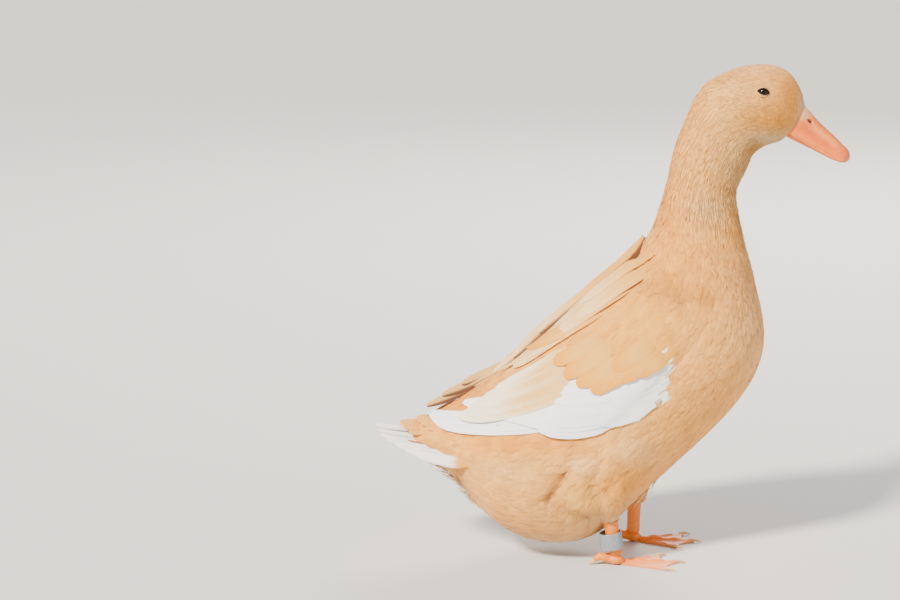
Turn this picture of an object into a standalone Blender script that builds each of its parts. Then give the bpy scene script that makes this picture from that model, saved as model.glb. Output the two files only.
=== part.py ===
"""A standing buff duck hen, life size, as a still model in separate closed solids.

Metres, +Z up. The duck faces +X, its left side is +Y, and the floor is z = 0.
The body is one loft through upright sections. It is parted into torso, neck and head,
and the feathers, lids and wings are set on its surface by the same section functions.
"""

import math

import bmesh
import bpy
import numpy as np
from mathutils import Matrix, Vector

MM = 0.001

# Driving sizes, in millimetres unless a name says otherwise
GAP = 0.3
CUT_SLACK = 0.1
LEFT = 1.0
RIGHT = -1.0

# Body sections from the tail root to the base of the bill. Each row is the top point x and z,
# the bottom point x and z, the half width, and how much wider the lower half is than the upper.
BODY_SECTIONS = (
    (-191.0, 128.0, -186.5, 106.0, 19.0, 0.00),
    (-166.0, 140.0, -168.5, 90.5, 33.0, 0.00),
    (-135.0, 159.5, -145.0, 70.0, 47.0, 0.04),
    (-104.5, 182.0, -125.0, 44.0, 60.0, 0.08),
    (-72.0, 207.5, -95.0, 21.0, 70.0, 0.10),
    (-39.5, 235.5, -58.5, 11.0, 76.0, 0.10),
    (-11.0, 262.5, -13.0, 21.0, 79.0, 0.10),
    (15.5, 286.5, 32.5, 62.0, 79.0, 0.08),
    (27.0, 301.0, 86.0, 113.0, 76.0, 0.06),
    (33.5, 311.5, 130.5, 165.5, 71.0, 0.04),
    (37.5, 319.0, 145.0, 209.5, 63.0, 0.00),
    (41.0, 329.0, 141.0, 245.0, 53.0, 0.00),
    (44.5, 338.5, 133.0, 277.0, 44.0, 0.00),
    (47.5, 349.5, 125.0, 308.0, 37.0, 0.00),
    (51.0, 363.0, 119.5, 334.5, 32.0, 0.00),
    (54.0, 378.0, 118.0, 351.5, 29.5, 0.00),
    (58.5, 396.0, 123.5, 365.0, 28.5, 0.02),
    (67.0, 418.0, 129.0, 377.0, 28.0, 0.04),
    (80.0, 446.0, 132.0, 385.0, 28.0, 0.06),
    (95.5, 459.5, 137.5, 390.5, 28.0, 0.08),
    (118.0, 469.0, 145.0, 395.0, 27.5, 0.10),
    (143.0, 471.5, 151.0, 396.5, 26.0, 0.12),
    (162.0, 466.0, 155.0, 397.5, 22.5, 0.14),
    (173.0, 453.5, 158.0, 399.0, 18.5, 0.18),
    (178.5, 441.0, 160.5, 401.0, 14.8, 0.24),
    (180.6, 431.1, 162.8, 402.7, 12.4, 0.30),
)
TAIL_CUT = 1.0
NECK_CUT = 12.0
HEAD_CUT = 17.3
BODY_END = len(BODY_SECTIONS) - 1.0

# Eye and lids
EYE_AT = (139.8, 447.6)
EYE_SECTIONS = (18.0, 23.0)
EYE_RADIUS = 6.2
EYE_DEPTH = 3.7
EYE_SLOPE = math.radians(-13.0)
LID_LONG = 6.4
LID_SHORT = 4.6
LID_THICK = 1.1
LID_RAISED = 0.5
LID_CORNER = 0.12

# Bill, in its own frame: u runs from the base to the tip and v is upwards across it
BILL_BASE = (171.7, 416.9)
BILL_SLOPE = math.radians(-32.2)
BILL_RINGS = (
    # u, culmen v, mouth line v, chin v, half width
    (0.2, 16.4, -12.6, -16.6, 10.6),
    (4.0, 15.6, -12.8, -16.4, 10.6),
    (9.0, 14.0, -12.9, -15.8, 10.4),
    (15.0, 12.2, -12.7, -15.0, 10.2),
    (21.0, 10.7, -12.4, -14.4, 10.4),
    (28.0, 9.4, -12.0, -13.6, 11.0),
    (36.0, 8.0, -11.4, -12.8, 11.9),
    (44.0, 6.2, -10.6, -12.0, 12.6),
    (51.0, 4.4, -9.4, -10.8, 12.4),
    (56.0, 2.6, -7.8, -9.4, 10.4),
    (59.0, 0.2, -5.8, -7.4, 7.0),
    (60.6, -2.2, -4.2, -5.6, 3.2),
)
CULMEN_ROUND = 0.85
CHIN_ROUND = 0.7
PALATE_HIGH = 0.5
MOUTH_GAP = 0.4
LOWER_BILL_SHARE = 0.86
LOWER_BILL_END = 10.4
NOSTRIL_AT = (9.8, 7.6)
NOSTRIL_OUT = 7.6
NOSTRIL_SIZE = (3.2, 3.4, 1.5)
NAIL_AT = (55.4, 0.2)
NAIL_SIZE = (6.4, 4.6, 2.2)
NAIL_SLOPE = math.radians(14.0)

# Legs. Sizes across are outward from the middle of the bird, for each side
LEGS = {
    # side, ankle, top of the shank, heading of the foot
    "right": (RIGHT, (4.0, 40.0, 10.6), (-2.5, 41.0, 52.0), math.radians(4.0)),
    "left": (LEFT, (21.0, 40.0, 10.6), (22.5, 41.5, 52.0), math.radians(4.0)),
}
SHANK_SHAPE = ((0.0, 7.0), (0.1, 6.5), (0.45, 6.6), (0.75, 7.5), (1.0, 8.2))
SHANK_AROUND = 14
THIGHS = {
    # the middle line of the feathered thigh from the shank upwards, with its radius
    "right": (
        (-2.5, 41.5, 47.0, 10.5),
        (-2.0, 48.0, 58.0, 13.0),
        (0.0, 58.0, 74.0, 15.0),
        (0.0, 65.0, 92.0, 11.5),
        (-2.0, 68.0, 103.0, 5.0),
    ),
    "left": (
        (22.5, 41.5, 40.0, 10.0),
        (24.0, 45.0, 53.0, 13.0),
        (26.0, 54.0, 70.0, 15.0),
        (24.0, 62.0, 90.0, 12.5),
        (20.0, 66.0, 104.0, 5.0),
    ),
}
THIGH_AROUND = 14

# Feet
TOE_REACH = (50.0, 60.0, 55.0)
TOE_SPREAD = math.radians(27.0)
TOE_START = 5.0
WEB_THICK = 1.6
WEB_BAY = 0.15
WEB_ROUND = 0.8
TOE_HIGH = (6.4, 3.4)
TOE_RIDGE = (0.10, 0.15)
TOE_JOINTS = 3.0
JOINT_SWELL = 0.14
CLAW = ((0.0, 2.6, 2.2), (6.0, 3.0, 1.9), (10.5, 2.1, 1.2), (13.5, 0.7, 0.4))
CLAW_START = 6.0
HIND_TOE = (
    (0.0, 5.5, 4.0),
    (7.0, 5.2, 3.8),
    (12.0, 8.0, 4.4),
    (17.0, 7.4, 3.6),
    (21.0, 4.6, 2.4),
    (25.0, 1.8, 0.8),
)
TOE_AROUND = 8
ANKLE_KNOB = (7.6, 6.6, 5.0)
ANKLE_KNOB_HIGH = 5.4
FOOT_SIDE = 0.45
FLOOR_CORNERS = ((-120.0, -140.0), (160.0, -140.0), (160.0, 140.0), (-120.0, 140.0))
FLOOR_DEEP = 30.0

# Leg band on the right shank
BAND_RADIUS = 10.8
BAND_WALL = 1.3
BAND_HALF = 7.9
BAND_AT = (-0.4, 41.1, 24.5)
BAND_TILT = math.radians(-8.0)

# Wing core, in sections along the body: section, upper edge and lower edge as shares of the
# way round from the back to the belly, and the height above the torso
WING_CORE = (
    (3.2, 0.29, 0.400, 3.0),
    (4.2, 0.24, 0.432, 6.0),
    (5.2, 0.21, 0.470, 8.4),
    (6.2, 0.20, 0.502, 9.6),
    (7.1, 0.22, 0.506, 9.0),
    (7.9, 0.27, 0.510, 6.8),
    (8.5, 0.33, 0.490, 3.0),
)
CORE_EDGE = 1.1
CORE_SUNK = -4.0

# Feather tiers of a wing, in the side view. Each has its number of feathers, the first and last
# root, the first and last tip, half width, height above the torso at root and tip, and roll.
WING_TIERS = (
    ("primaries", 4, (-47, 145), (-36, 136), (-171, 134), (-112, 133), 4.6, 3.0, 2.6, 0.24),
    ("secondaries", 7, (-10, 186), (0, 144), (-133, 147), (-58, 134), 7.0, 4.2, 4.0, 0.18),
    ("tertials", 4, (6, 239), (18, 201), (-90, 182), (-144, 146.5), 10.5, 5.6, 5.8, 0.13),
    ("greater_coverts", 6, (28, 228), (44, 168), (-45, 185), (-8, 138), 7.2, 7.0, 7.8, 0.15),
    ("median_coverts", 5, (51, 250), (63, 192), (3, 212), (28, 161), 8.0, 6.4, 9.8, 0.13),
    ("scapulars", 5, (39, 285), (50, 246), (-67, 202), (-16, 182), 9.5, 6.6, 9.0, 0.12),
)
TIER_STEP = 0.25
WIDTH_VARIES = 0.05
WIDTH_RHYTHM = 2.4

# Tail feathers, from the middle pair outwards
TAIL_PAIRS = 7
TAIL_ROOT = (-153.5, 1.6, 120.0)
TAIL_ROOT_OUT = (2.0, 13.0, -9.0)
TAIL_TIP = (-226.5, 3.0, 126.0)
TAIL_TIP_OUT = (42.0, 39.0, -19.0)
TAIL_TIP_BEND = 1.7
TAIL_HALF_WIDTH = (6.8, 5.4)
TAIL_ROOF = 0.5
TAIL_ROLL = 0.12

# Short feathers over and under the tail: root, tip, reach across at root and tip, and side up
TAIL_COVERTS = (
    ("upper", (-158.0, 0.0, 128.0), (-200.0, 0.0, 127.5), (10.0, 15.0), 1.0),
    ("under", (-158.0, 0.0, 98.0), (-199.0, 0.0, 108.0), (11.0, 18.0), -1.0),
)
COVERT_COUNT = 5
COVERT_HALF_WIDTH = 7.5
COVERT_DROP = (2.0, 5.0)
COVERT_FAN = 10.0
COVERT_LEAN = 0.45

# Feather build
FEATHER_THICK = 0.9
FEATHER_EDGE = 0.6
FEATHER_OUTLINE = ((0.0, 0.62), (0.3, 0.92), (0.62, 1.0), (0.86, 0.8), (1.0, 0.3))

# Colours as linear red, green, blue and alpha
COLOURS = {
    "plumage": (0.83, 0.60, 0.38, 1.0),
    "pale_plumage": (0.93, 0.86, 0.72, 1.0),
    "bill": (0.86, 0.46, 0.32, 1.0),
    "legs": (0.90, 0.45, 0.18, 1.0),
    "eye": (0.03, 0.02, 0.015, 1.0),
    "band": (0.62, 0.66, 0.68, 1.0),
}
ROUGHNESS = {"plumage": 0.85, "pale_plumage": 0.8, "bill": 0.4, "legs": 0.5, "eye": 0.08, "band": 0.45}
SHARP_ANGLE = math.radians(40.0)

# Fineness of the meshes
TORSO_AROUND = 28
NECK_AROUND = 24
TAIL_AROUND = 20
WING_CORE_ROWS = 9
WING_CORE_ACROSS = 7
BALL_RINGS = 8
BALL_AROUND = 12
LID_STEPS = 14
LID_AROUND = 5
BAND_STEPS = 28
WEB_ACROSS = 20
WEB_STEPS = 6
BILL_STEPS = 20
BILL_AROUND = 12
LOWER_BILL_STEPS = 16
LOWER_BILL_AROUND = 8


def clear_scene():
    for obj in list(bpy.data.objects):
        bpy.data.objects.remove(obj)


def material(name):
    made = bpy.data.materials.get(name)
    if made is None:
        made = bpy.data.materials.new(name)
        made.use_nodes = True
        shader = made.node_tree.nodes["Principled BSDF"]
        shader.inputs["Base Color"].default_value = COLOURS[name]
        shader.inputs["Roughness"].default_value = ROUGHNESS[name]
        shader.inputs["Metallic"].default_value = 0.0
    return made


class Spline:
    """A natural cubic spline through the rows of a table, over the row number."""

    def __init__(self, rows):
        self.rows = np.array(rows, float)
        count = len(self.rows)
        system = np.eye(count)
        right = np.zeros_like(self.rows)
        for i in range(1, count - 1):
            system[i, i - 1 : i + 2] = (1.0, 4.0, 1.0)
            right[i] = 6.0 * (self.rows[i - 1] - 2.0 * self.rows[i] + self.rows[i + 1])
        self.bend = np.linalg.solve(system, right)

    def __call__(self, s):
        i = int(min(max(math.floor(s), 0), len(self.rows) - 2))
        b = s - i
        a = 1.0 - b
        straight = a * self.rows[i] + b * self.rows[i + 1]
        curve = (a**3 - a) * self.bend[i] + (b**3 - b) * self.bend[i + 1]
        return straight + curve / 6.0


BODY = Spline(BODY_SECTIONS)


def body_point(s, turn):
    """A point of the body at section s. turn is 0 on the back, 0.5 on the left, 1 below."""
    top_x, top_z, low_x, low_z, half_width, lower = BODY(s)
    angle = math.pi * turn
    rise = math.cos(angle)
    across = half_width * math.sin(angle) * (1.0 - lower * rise)
    x = (top_x + low_x) / 2 + (top_x - low_x) / 2 * rise
    z = (top_z + low_z) / 2 + (top_z - low_z) / 2 * rise
    return Vector((x, across, z))


def body_normal(s, turn):
    step = 0.02
    low = max(s - step, 0.0)
    high = min(s + step, BODY_END)
    along = body_point(high, turn) - body_point(low, turn)
    around = body_point(s, turn + step) - body_point(s, turn - step)
    return along.cross(around).normalized()


def on_body(s, turn, height):
    return body_point(s, turn) + body_normal(s, turn) * height


def side_view(point):
    return point.x, point.z


# A grid of the body's left side, from the tail root to the neck, that the search below starts from
SEEK_STEP = 0.1
TURN_STEP = 0.02
SEEK_SECTIONS = np.arange(0.0, NECK_CUT + SEEK_STEP / 2, SEEK_STEP)
SEEK_TURNS = np.arange(1, round(1.0 / TURN_STEP)) * TURN_STEP
SEEK_POINTS = np.array([[side_view(body_point(s, t)) for t in SEEK_TURNS] for s in SEEK_SECTIONS])


def find_on_body(x, z, points=SEEK_POINTS, sections=SEEK_SECTIONS):
    """The section and turn whose point lies at (x, z) in the side view."""
    far = ((points - (x, z)) ** 2).sum(axis=2)
    i, j = np.unravel_index(far.argmin(), far.shape)
    found = np.array([sections[i], SEEK_TURNS[j]])
    step = 1e-3
    for _ in range(3):
        here = np.array(side_view(body_point(*found)))
        slope = np.array(
            [
                (np.array(side_view(body_point(found[0] + step, found[1]))) - here) / step,
                (np.array(side_view(body_point(found[0], found[1] + step))) - here) / step,
            ]
        ).T
        found = found + np.linalg.lstsq(slope, np.array((x, z)) - here, rcond=None)[0]
        found = np.clip(found, (0.0, TURN_STEP), (BODY_END, 1.0 - TURN_STEP))
    return float(found[0]), float(found[1])


def make_object(name, bm, finish):
    bmesh.ops.recalc_face_normals(bm, faces=bm.faces[:])
    mesh = bpy.data.meshes.new(name)
    bmesh.ops.scale(bm, vec=(MM, MM, MM), verts=bm.verts[:])
    bm.to_mesh(mesh)
    bm.free()
    mesh.materials.append(material(finish))
    obj = bpy.data.objects.new(name, mesh)
    bpy.context.scene.collection.objects.link(obj)
    return obj


def skin_rings(rings, closed_ends=True):
    """A closed mesh over rings that have the same number of points."""
    bm = bmesh.new()
    rows = [[bm.verts.new(point) for point in ring] for ring in rings]
    for low, high in zip(rows, rows[1:]):
        for i in range(len(low)):
            j = (i + 1) % len(low)
            bm.faces.new((low[i], low[j], high[j]))
            bm.faces.new((low[i], high[j], high[i]))
    if closed_ends:
        bm.faces.new(rows[0][::-1])
        bm.faces.new(rows[-1])
    return bm


def closed_loop(name, rings, finish):
    """A closed ring-shaped solid, whose last section joins its first."""
    bm = skin_rings(rings + [rings[0]], closed_ends=False)
    bmesh.ops.remove_doubles(bm, verts=bm.verts[:], dist=1e-4)
    return make_object(name, bm, finish)


def round_ball(name, centre, size, finish, slope=0.0):
    """A closed ellipsoid from its three half axes, turned nose down by slope."""
    bm = bmesh.new()
    bmesh.ops.create_uvsphere(bm, u_segments=BALL_AROUND, v_segments=BALL_RINGS, radius=1.0)
    turned = Matrix.Rotation(slope, 4, "Y") @ Matrix.Diagonal((*size, 1.0))
    bmesh.ops.transform(bm, matrix=Matrix.Translation(centre) @ turned, verts=bm.verts[:])
    return make_object(name, bm, finish)


def tube(points, radii, around):
    """A closed round rod through points, tapered by radii."""
    rings = []
    for i, point in enumerate(points):
        ahead = points[min(i + 1, len(points) - 1)] - points[max(i - 1, 0)]
        ahead.normalize()
        side = ahead.cross(Vector((0.0, 1.0, 0.0))).normalized()
        other = ahead.cross(side)
        ring = []
        for k in range(around):
            angle = math.tau * k / around
            ring.append(point + (side * math.cos(angle) + other * math.sin(angle)) * radii[i])
        rings.append(ring)
    return skin_rings(rings)


def apply_modifiers(obj):
    graph = bpy.context.evaluated_depsgraph_get()
    graph.update()
    mesh = bpy.data.meshes.new_from_object(obj.evaluated_get(graph))
    obj.modifiers.clear()
    obj.data = mesh


def keep_largest(obj):
    """Keeps only the largest closed surface, and with it fills sealed hollows."""
    bm = bmesh.new()
    bm.from_mesh(obj.data)
    left = set(bm.faces)
    shells = []
    while left:
        front = [left.pop()]
        shell = list(front)
        while front:
            for edge in front.pop().edges:
                if len(edge.link_faces) != 2:
                    continue
                for face in edge.link_faces:
                    if face in left:
                        left.discard(face)
                        shell.append(face)
                        front.append(face)
        shells.append(shell)
    shells.sort(key=lambda shell: sum(face.calc_area() for face in shell))
    for shell in shells[:-1]:
        bmesh.ops.delete(bm, geom=shell, context="FACES")
    loose = [vert for vert in bm.verts if not vert.link_faces]
    bmesh.ops.delete(bm, geom=loose, context="VERTS")
    bmesh.ops.triangulate(bm, faces=bm.faces[:])
    bm.to_mesh(obj.data)
    bm.free()


def fuse(obj, pieces, operation="UNION"):
    """Joins closed pieces to obj, or cuts them from it, by one Boolean on a collection."""
    group = bpy.data.collections.new(obj.name + "_pieces")
    for piece in pieces:
        bpy.context.scene.collection.objects.unlink(piece)
        group.objects.link(piece)
    bpy.context.scene.collection.children.link(group)
    modifier = obj.modifiers.new("join", "BOOLEAN")
    modifier.operation = operation
    modifier.solver = "EXACT"
    modifier.operand_type = "COLLECTION"
    modifier.collection = group
    apply_modifiers(obj)
    for piece in pieces:
        bpy.data.objects.remove(piece)
    bpy.data.collections.remove(group)
    keep_largest(obj)


def body_ring(s, around, shift=0.0, grow=0.0):
    """The points round the body at section s, moved along the section's own normal by shift."""
    top_x, top_z, low_x, low_z, _, _ = BODY(s)
    up = Vector((top_x - low_x, 0.0, top_z - low_z)).normalized()
    ahead = Vector((up.z, 0.0, -up.x))
    ring = []
    for k in range(around):
        turn = 2.0 * k / around
        point = body_point(s, turn)
        if grow:
            point = on_body(s, turn, grow)
        ring.append(point + ahead * shift)
    return ring


def stations(first, last, count):
    return [first + (last - first) * k / count for k in range(count + 1)]


TAIL_STATIONS = stations(0.0, TAIL_CUT, 5)
TORSO_STATIONS = stations(TAIL_CUT, NECK_CUT, 24)
NECK_STATIONS = stations(NECK_CUT, HEAD_CUT, 9)
HEAD_STATIONS = stations(HEAD_CUT, BODY_END, 15)


def body_length(name, places, around, finish):
    """A closed length of the body, with half the gap left at each end."""
    shifts = [0.0] * len(places)
    shifts[0] = GAP / 2
    shifts[-1] = -GAP / 2
    rings = [body_ring(s, around, shift) for s, shift in zip(places, shifts)]
    return make_object(name, skin_rings(rings), finish)


def torso_cutter(name, with_tail=True):
    """The torso grown by the gap, with or without the tail root, to cut what lies against it."""
    places = TORSO_STATIONS
    if with_tail:
        places = TAIL_STATIONS[:-1] + places
    grow = GAP + CUT_SLACK
    rings = [body_ring(s, TORSO_AROUND, 0.0, grow) for s in places]
    if not with_tail:
        rings[0] = body_ring(TAIL_CUT, TORSO_AROUND, -grow / 2, grow)
    return make_object(name, skin_rings(rings), "plumage")


def vane(name, path, normals, half_width, roll, finish):
    """One flat feather: five points to a ring, with a low rib along its upper middle."""
    edge = FEATHER_EDGE / 2
    rings = []
    for i, (point, normal) in enumerate(zip(path, normals)):
        ahead = (path[min(i + 1, len(path) - 1)] - path[max(i - 1, 0)]).normalized()
        side = normal.cross(ahead).normalized()
        face = (normal + side * -roll).normalized()
        side = face.cross(ahead).normalized()
        width = half_width * FEATHER_OUTLINE[i][1]
        rings.append(
            (
                point + side * width + face * edge,
                point + face * FEATHER_THICK,
                point - side * width + face * edge,
                point - side * width - face * edge,
                point + side * width - face * edge,
            )
        )
    return make_object(name, skin_rings(rings), finish)


def mix(first, last, share):
    return Vector(first).lerp(Vector(last), share)


def flank_vane(name, root, tip, heights, half_width, roll):
    """A feather laid on the left flank, from a root to a tip given in the side view."""
    path = []
    normals = []
    for share, _ in FEATHER_OUTLINE:
        x, z = mix((*root, 0.0), (*tip, 0.0), share)[:2]
        s, turn = find_on_body(x, z)
        height = heights[0] + (heights[1] - heights[0]) * share
        path.append(on_body(s, turn, height))
        normals.append(body_normal(s, turn))
    return vane(name, path, normals, half_width, roll, "pale_plumage")


def wing_core(name):
    """The body of the left wing, thickest at the shoulder, which holds every feather's root."""
    table = Spline(WING_CORE)
    sections = WING_CORE_ROWS
    across = WING_CORE_ACROSS
    outer = []
    inner = []
    for i in range(sections + 1):
        s, upper, lower, high = table((len(WING_CORE) - 1) * i / sections)
        outer.append([])
        inner.append([])
        for j in range(across + 1):
            share = j / across
            turn = upper + (lower - upper) * share
            crown = 1.0 - (2.0 * share - 1.0) ** 4
            height = CORE_EDGE + (high - CORE_EDGE) * crown
            outer[-1].append(on_body(s, turn, height))
            inner[-1].append(on_body(s, turn, CORE_SUNK))
    return closed_sheet(name, outer, inner, "plumage")


def tier_feathers(tier):
    name, count, root_a, root_b, tip_a, tip_b, half_width, low, high, roll = tier
    made = []
    for i in range(count):
        share = i / (count - 1)
        root = mix((*root_a, 0.0), (*root_b, 0.0), share)[:2]
        tip = mix((*tip_a, 0.0), (*tip_b, 0.0), share)[:2]
        uneven = 1.0 + WIDTH_VARIES * math.sin(WIDTH_RHYTHM * i + count)
        heights = (low, high + TIER_STEP * (i % 2))
        made.append(flank_vane(f"{name}_{i}", root, tip, heights, half_width * uneven, roll))
    return made


def build_wings():
    """The left wing, cut to lie clear of the torso, and the right one as its mirror image."""
    wing = wing_core("wing_left")
    fuse(wing, [feather for tier in WING_TIERS for feather in tier_feathers(tier)])
    fuse(wing, [torso_cutter("cut_wing")], "DIFFERENCE")
    bm = bmesh.new()
    bm.from_mesh(wing.data)
    bmesh.ops.scale(bm, vec=(1.0 / MM, -1.0 / MM, 1.0 / MM), verts=bm.verts[:])
    return [wing, make_object("wing_right", bm, "plumage")]


def tail_feather(name, i, side):
    share = i / (TAIL_PAIRS - 1)
    bend = share**TAIL_TIP_BEND
    root = Vector(TAIL_ROOT) + Vector(TAIL_ROOT_OUT) * share
    ahead, out, up = TAIL_TIP_OUT
    tip = Vector(TAIL_TIP) + Vector((ahead * bend, out * share, up * share))
    lean = TAIL_ROOF * share * side
    normal = Vector((0.0, math.sin(lean), math.cos(lean)))
    path = []
    for along, _ in FEATHER_OUTLINE:
        point = root.lerp(tip, along)
        point.y *= side
        path.append(point)
    half_width = TAIL_HALF_WIDTH[0] + (TAIL_HALF_WIDTH[1] - TAIL_HALF_WIDTH[0]) * share
    return vane(name, path, [normal] * len(path), half_width, TAIL_ROLL * side, "pale_plumage")


def covert_row(row):
    """Short feathers over or under the tail root, fanned from the middle."""
    name, root, tip, reach, up = row
    made = []
    for i in range(COVERT_COUNT):
        share = 2.0 * i / (COVERT_COUNT - 1) - 1.0
        normal = Vector((0.0, share * COVERT_LEAN, up)).normalized()
        path = []
        for along, _ in FEATHER_OUTLINE:
            point = Vector(root).lerp(Vector(tip), along)
            point.y += share * (reach[0] + (reach[1] - reach[0]) * along)
            point.z -= up * share**2 * (COVERT_DROP[0] + (COVERT_DROP[1] - COVERT_DROP[0]) * along)
            point.x += COVERT_FAN * share**2 * along
            path.append(point)
        made.append(vane(f"{name}_{i}", path, [normal] * len(path), COVERT_HALF_WIDTH, 0.0, "plumage"))
    return made


def build_tail():
    tail = body_length("tail", TAIL_STATIONS, TAIL_AROUND, "plumage")
    feathers = []
    for i in range(TAIL_PAIRS):
        feathers += [tail_feather(f"tail_{i}_{side}", i, side) for side in (LEFT, RIGHT)]
    for row in TAIL_COVERTS:
        feathers += covert_row(row)
    fuse(tail, feathers)
    fuse(tail, [torso_cutter("cut_tail", with_tail=False)], "DIFFERENCE")
    return tail


def bill_point(u, v, y=0.0):
    x = BILL_BASE[0] + u * math.cos(BILL_SLOPE) - v * math.sin(BILL_SLOPE)
    z = BILL_BASE[1] + u * math.sin(BILL_SLOPE) + v * math.cos(BILL_SLOPE)
    return Vector((x, y, z))


def build_upper_bill():
    """The upper half: arched sections over a flat palate, a nail at the tip and two nostrils."""
    table = Spline(BILL_RINGS)
    rings = []
    steps = BILL_STEPS
    over = BILL_AROUND
    for i in range(steps + 1):
        u, culmen, mouth, _, half = table((len(BILL_RINGS) - 1) * i / steps)
        palate = mouth + PALATE_HIGH
        ring = [bill_point(u, palate, half / 2), bill_point(u, palate, -half / 2)]
        for k in range(over + 1):
            angle = math.pi * k / over - math.pi / 2
            high = mouth + (culmen - mouth) * math.cos(angle) ** CULMEN_ROUND
            ring.append(bill_point(u, high, half * math.sin(angle)))
        rings.append(ring)
    bill = make_object("bill_upper", skin_rings(rings), "bill")
    fuse(bill, [round_ball("nail", bill_point(*NAIL_AT), NAIL_SIZE, "bill", NAIL_SLOPE - BILL_SLOPE)])
    pits = []
    for side in (LEFT, RIGHT):
        centre = bill_point(*NOSTRIL_AT, side * NOSTRIL_OUT)
        pits.append(round_ball("nostril", centre, NOSTRIL_SIZE, "bill", -BILL_SLOPE))
    fuse(bill, pits, "DIFFERENCE")
    return bill


def build_lower_bill():
    """The lower half, a little narrower, with a thin gap to the upper one along the mouth."""
    table = Spline(BILL_RINGS)
    rings = []
    steps = LOWER_BILL_STEPS
    under = LOWER_BILL_AROUND
    for i in range(steps + 1):
        u, _, mouth, chin, half = table(LOWER_BILL_END * i / steps)
        top = mouth - MOUTH_GAP
        wide = half * LOWER_BILL_SHARE
        ring = [bill_point(u, top, 0.0)]
        for k in range(under + 1):
            angle = math.pi * k / under
            low = top + (chin - top) * math.sin(angle) ** CHIN_ROUND
            ring.append(bill_point(u, low, wide * math.cos(angle)))
        rings.append(ring)
    return make_object("bill_lower", skin_rings(rings), "bill")


def eye_frame(side):
    """The place of an eye, its outward direction and its forward direction."""
    sections = np.arange(*EYE_SECTIONS, SEEK_STEP)
    points = np.array([[side_view(body_point(s, t)) for t in SEEK_TURNS] for s in sections])
    s, turn = find_on_body(*EYE_AT, points, sections)
    surface = body_point(s, turn)
    outward = body_normal(s, turn)
    surface.y *= side
    outward.y *= side
    ahead = Vector((math.cos(EYE_SLOPE), 0.0, math.sin(EYE_SLOPE)))
    ahead = (ahead - outward * ahead.dot(outward)).normalized()
    return surface, outward, ahead


def lid_ring(name, side):
    """The rim of lids round an eye: an oval rope, pointed a little at its two corners."""
    surface, outward, ahead = eye_frame(side)
    above = ahead.cross(outward) * side
    rings = []
    steps = LID_STEPS
    around = LID_AROUND
    for i in range(steps):
        angle = math.tau * i / steps
        long = LID_LONG * (1.0 + LID_CORNER * math.cos(angle) ** 8)
        centre = surface + outward * LID_RAISED
        centre += ahead * long * math.cos(angle) + above * LID_SHORT * math.sin(angle)
        away = (ahead * math.cos(angle) / LID_LONG + above * math.sin(angle) / LID_SHORT).normalized()
        rings.append([])
        for k in range(around):
            turn = math.tau * k / around
            rings[-1].append(centre + (away * math.cos(turn) + outward * math.sin(turn)) * LID_THICK)
    return closed_loop(name, rings, "plumage")


def build_head():
    """The head with a rim of lids and a socket at each eye, and the two eyes."""
    head = body_length("head", HEAD_STATIONS, NECK_AROUND, "plumage")
    lids = []
    sockets = []
    eyes = []
    for side, word in ((RIGHT, "right"), (LEFT, "left")):
        surface, outward, _ = eye_frame(side)
        centre = surface - outward * EYE_DEPTH
        lids.append(lid_ring("lid_" + word, side))
        sockets.append(round_ball("socket_" + word, centre, [EYE_RADIUS + GAP] * 3, "plumage"))
        eyes.append(round_ball("eye_" + word, centre, [EYE_RADIUS] * 3, "eye"))
    fuse(head, lids)
    fuse(head, sockets, "DIFFERENCE")
    return [head, *eyes]


def leg_point(word, point):
    """A point given outward from the middle, on the side of that leg."""
    return Vector((point[0], point[1] * LEGS[word][0], point[2]))


def toe_direction(word, toe):
    """The level direction of a toe: 0 is the inner toe, 1 the middle toe, 2 the outer toe."""
    side, _, _, heading = LEGS[word]
    angle = side * (TOE_SPREAD * (toe - 1.0) - heading)
    return Vector((math.cos(angle), math.sin(angle), 0.0))


def web_reach(toe):
    """How far the foot reaches from the ankle at any share of the way across its toes."""
    reach = np.interp(toe, range(len(TOE_REACH)), TOE_REACH)
    bay = math.sin(math.pi * abs(toe - round(toe)))
    return reach * (1.0 - WEB_BAY * bay**WEB_ROUND)


def foot_height(toe, out):
    """How high the foot's top stands, with toes as jointed ridges and the web between them."""
    joint = 1.0 + JOINT_SWELL * math.cos(TOE_JOINTS * math.tau * out)
    high = (TOE_HIGH[0] + (TOE_HIGH[1] - TOE_HIGH[0]) * out) * joint
    ridge = TOE_RIDGE[0] + (TOE_RIDGE[1] - TOE_RIDGE[0]) * out
    return WEB_THICK + (high - WEB_THICK) * math.exp(-((abs(toe - round(toe)) / ridge) ** 2))


def closed_sheet(name, top, low, finish):
    """A closed solid between two grids of points that have the same rows and columns."""
    bm = bmesh.new()
    rows = len(top) - 1
    across = len(top[0]) - 1
    upper = [[bm.verts.new(point) for point in row] for row in top]
    under = [[bm.verts.new(point) for point in row] for row in low]
    for grid in (upper, under):
        for i in range(rows):
            for j in range(across):
                bm.faces.new((grid[i][j], grid[i + 1][j], grid[i + 1][j + 1], grid[i][j + 1]))
    rim = [(i, 0) for i in range(rows)] + [(rows, j) for j in range(across)]
    rim += [(rows - i, across) for i in range(rows)] + [(0, across - j) for j in range(across)]
    for (i, j), (k, m) in zip(rim, rim[1:] + rim[:1]):
        bm.faces.new((upper[i][j], upper[k][m], under[k][m], under[i][j]))
    return make_object(name, bm, finish)


def rod_along(start, direction, table):
    """A tapered rod from rows of distance along, height and radius."""
    points = [start + direction * far + Vector((0.0, 0.0, high)) for far, high, _ in table]
    return tube(points, [row[2] for row in table], TOE_AROUND)


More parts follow.
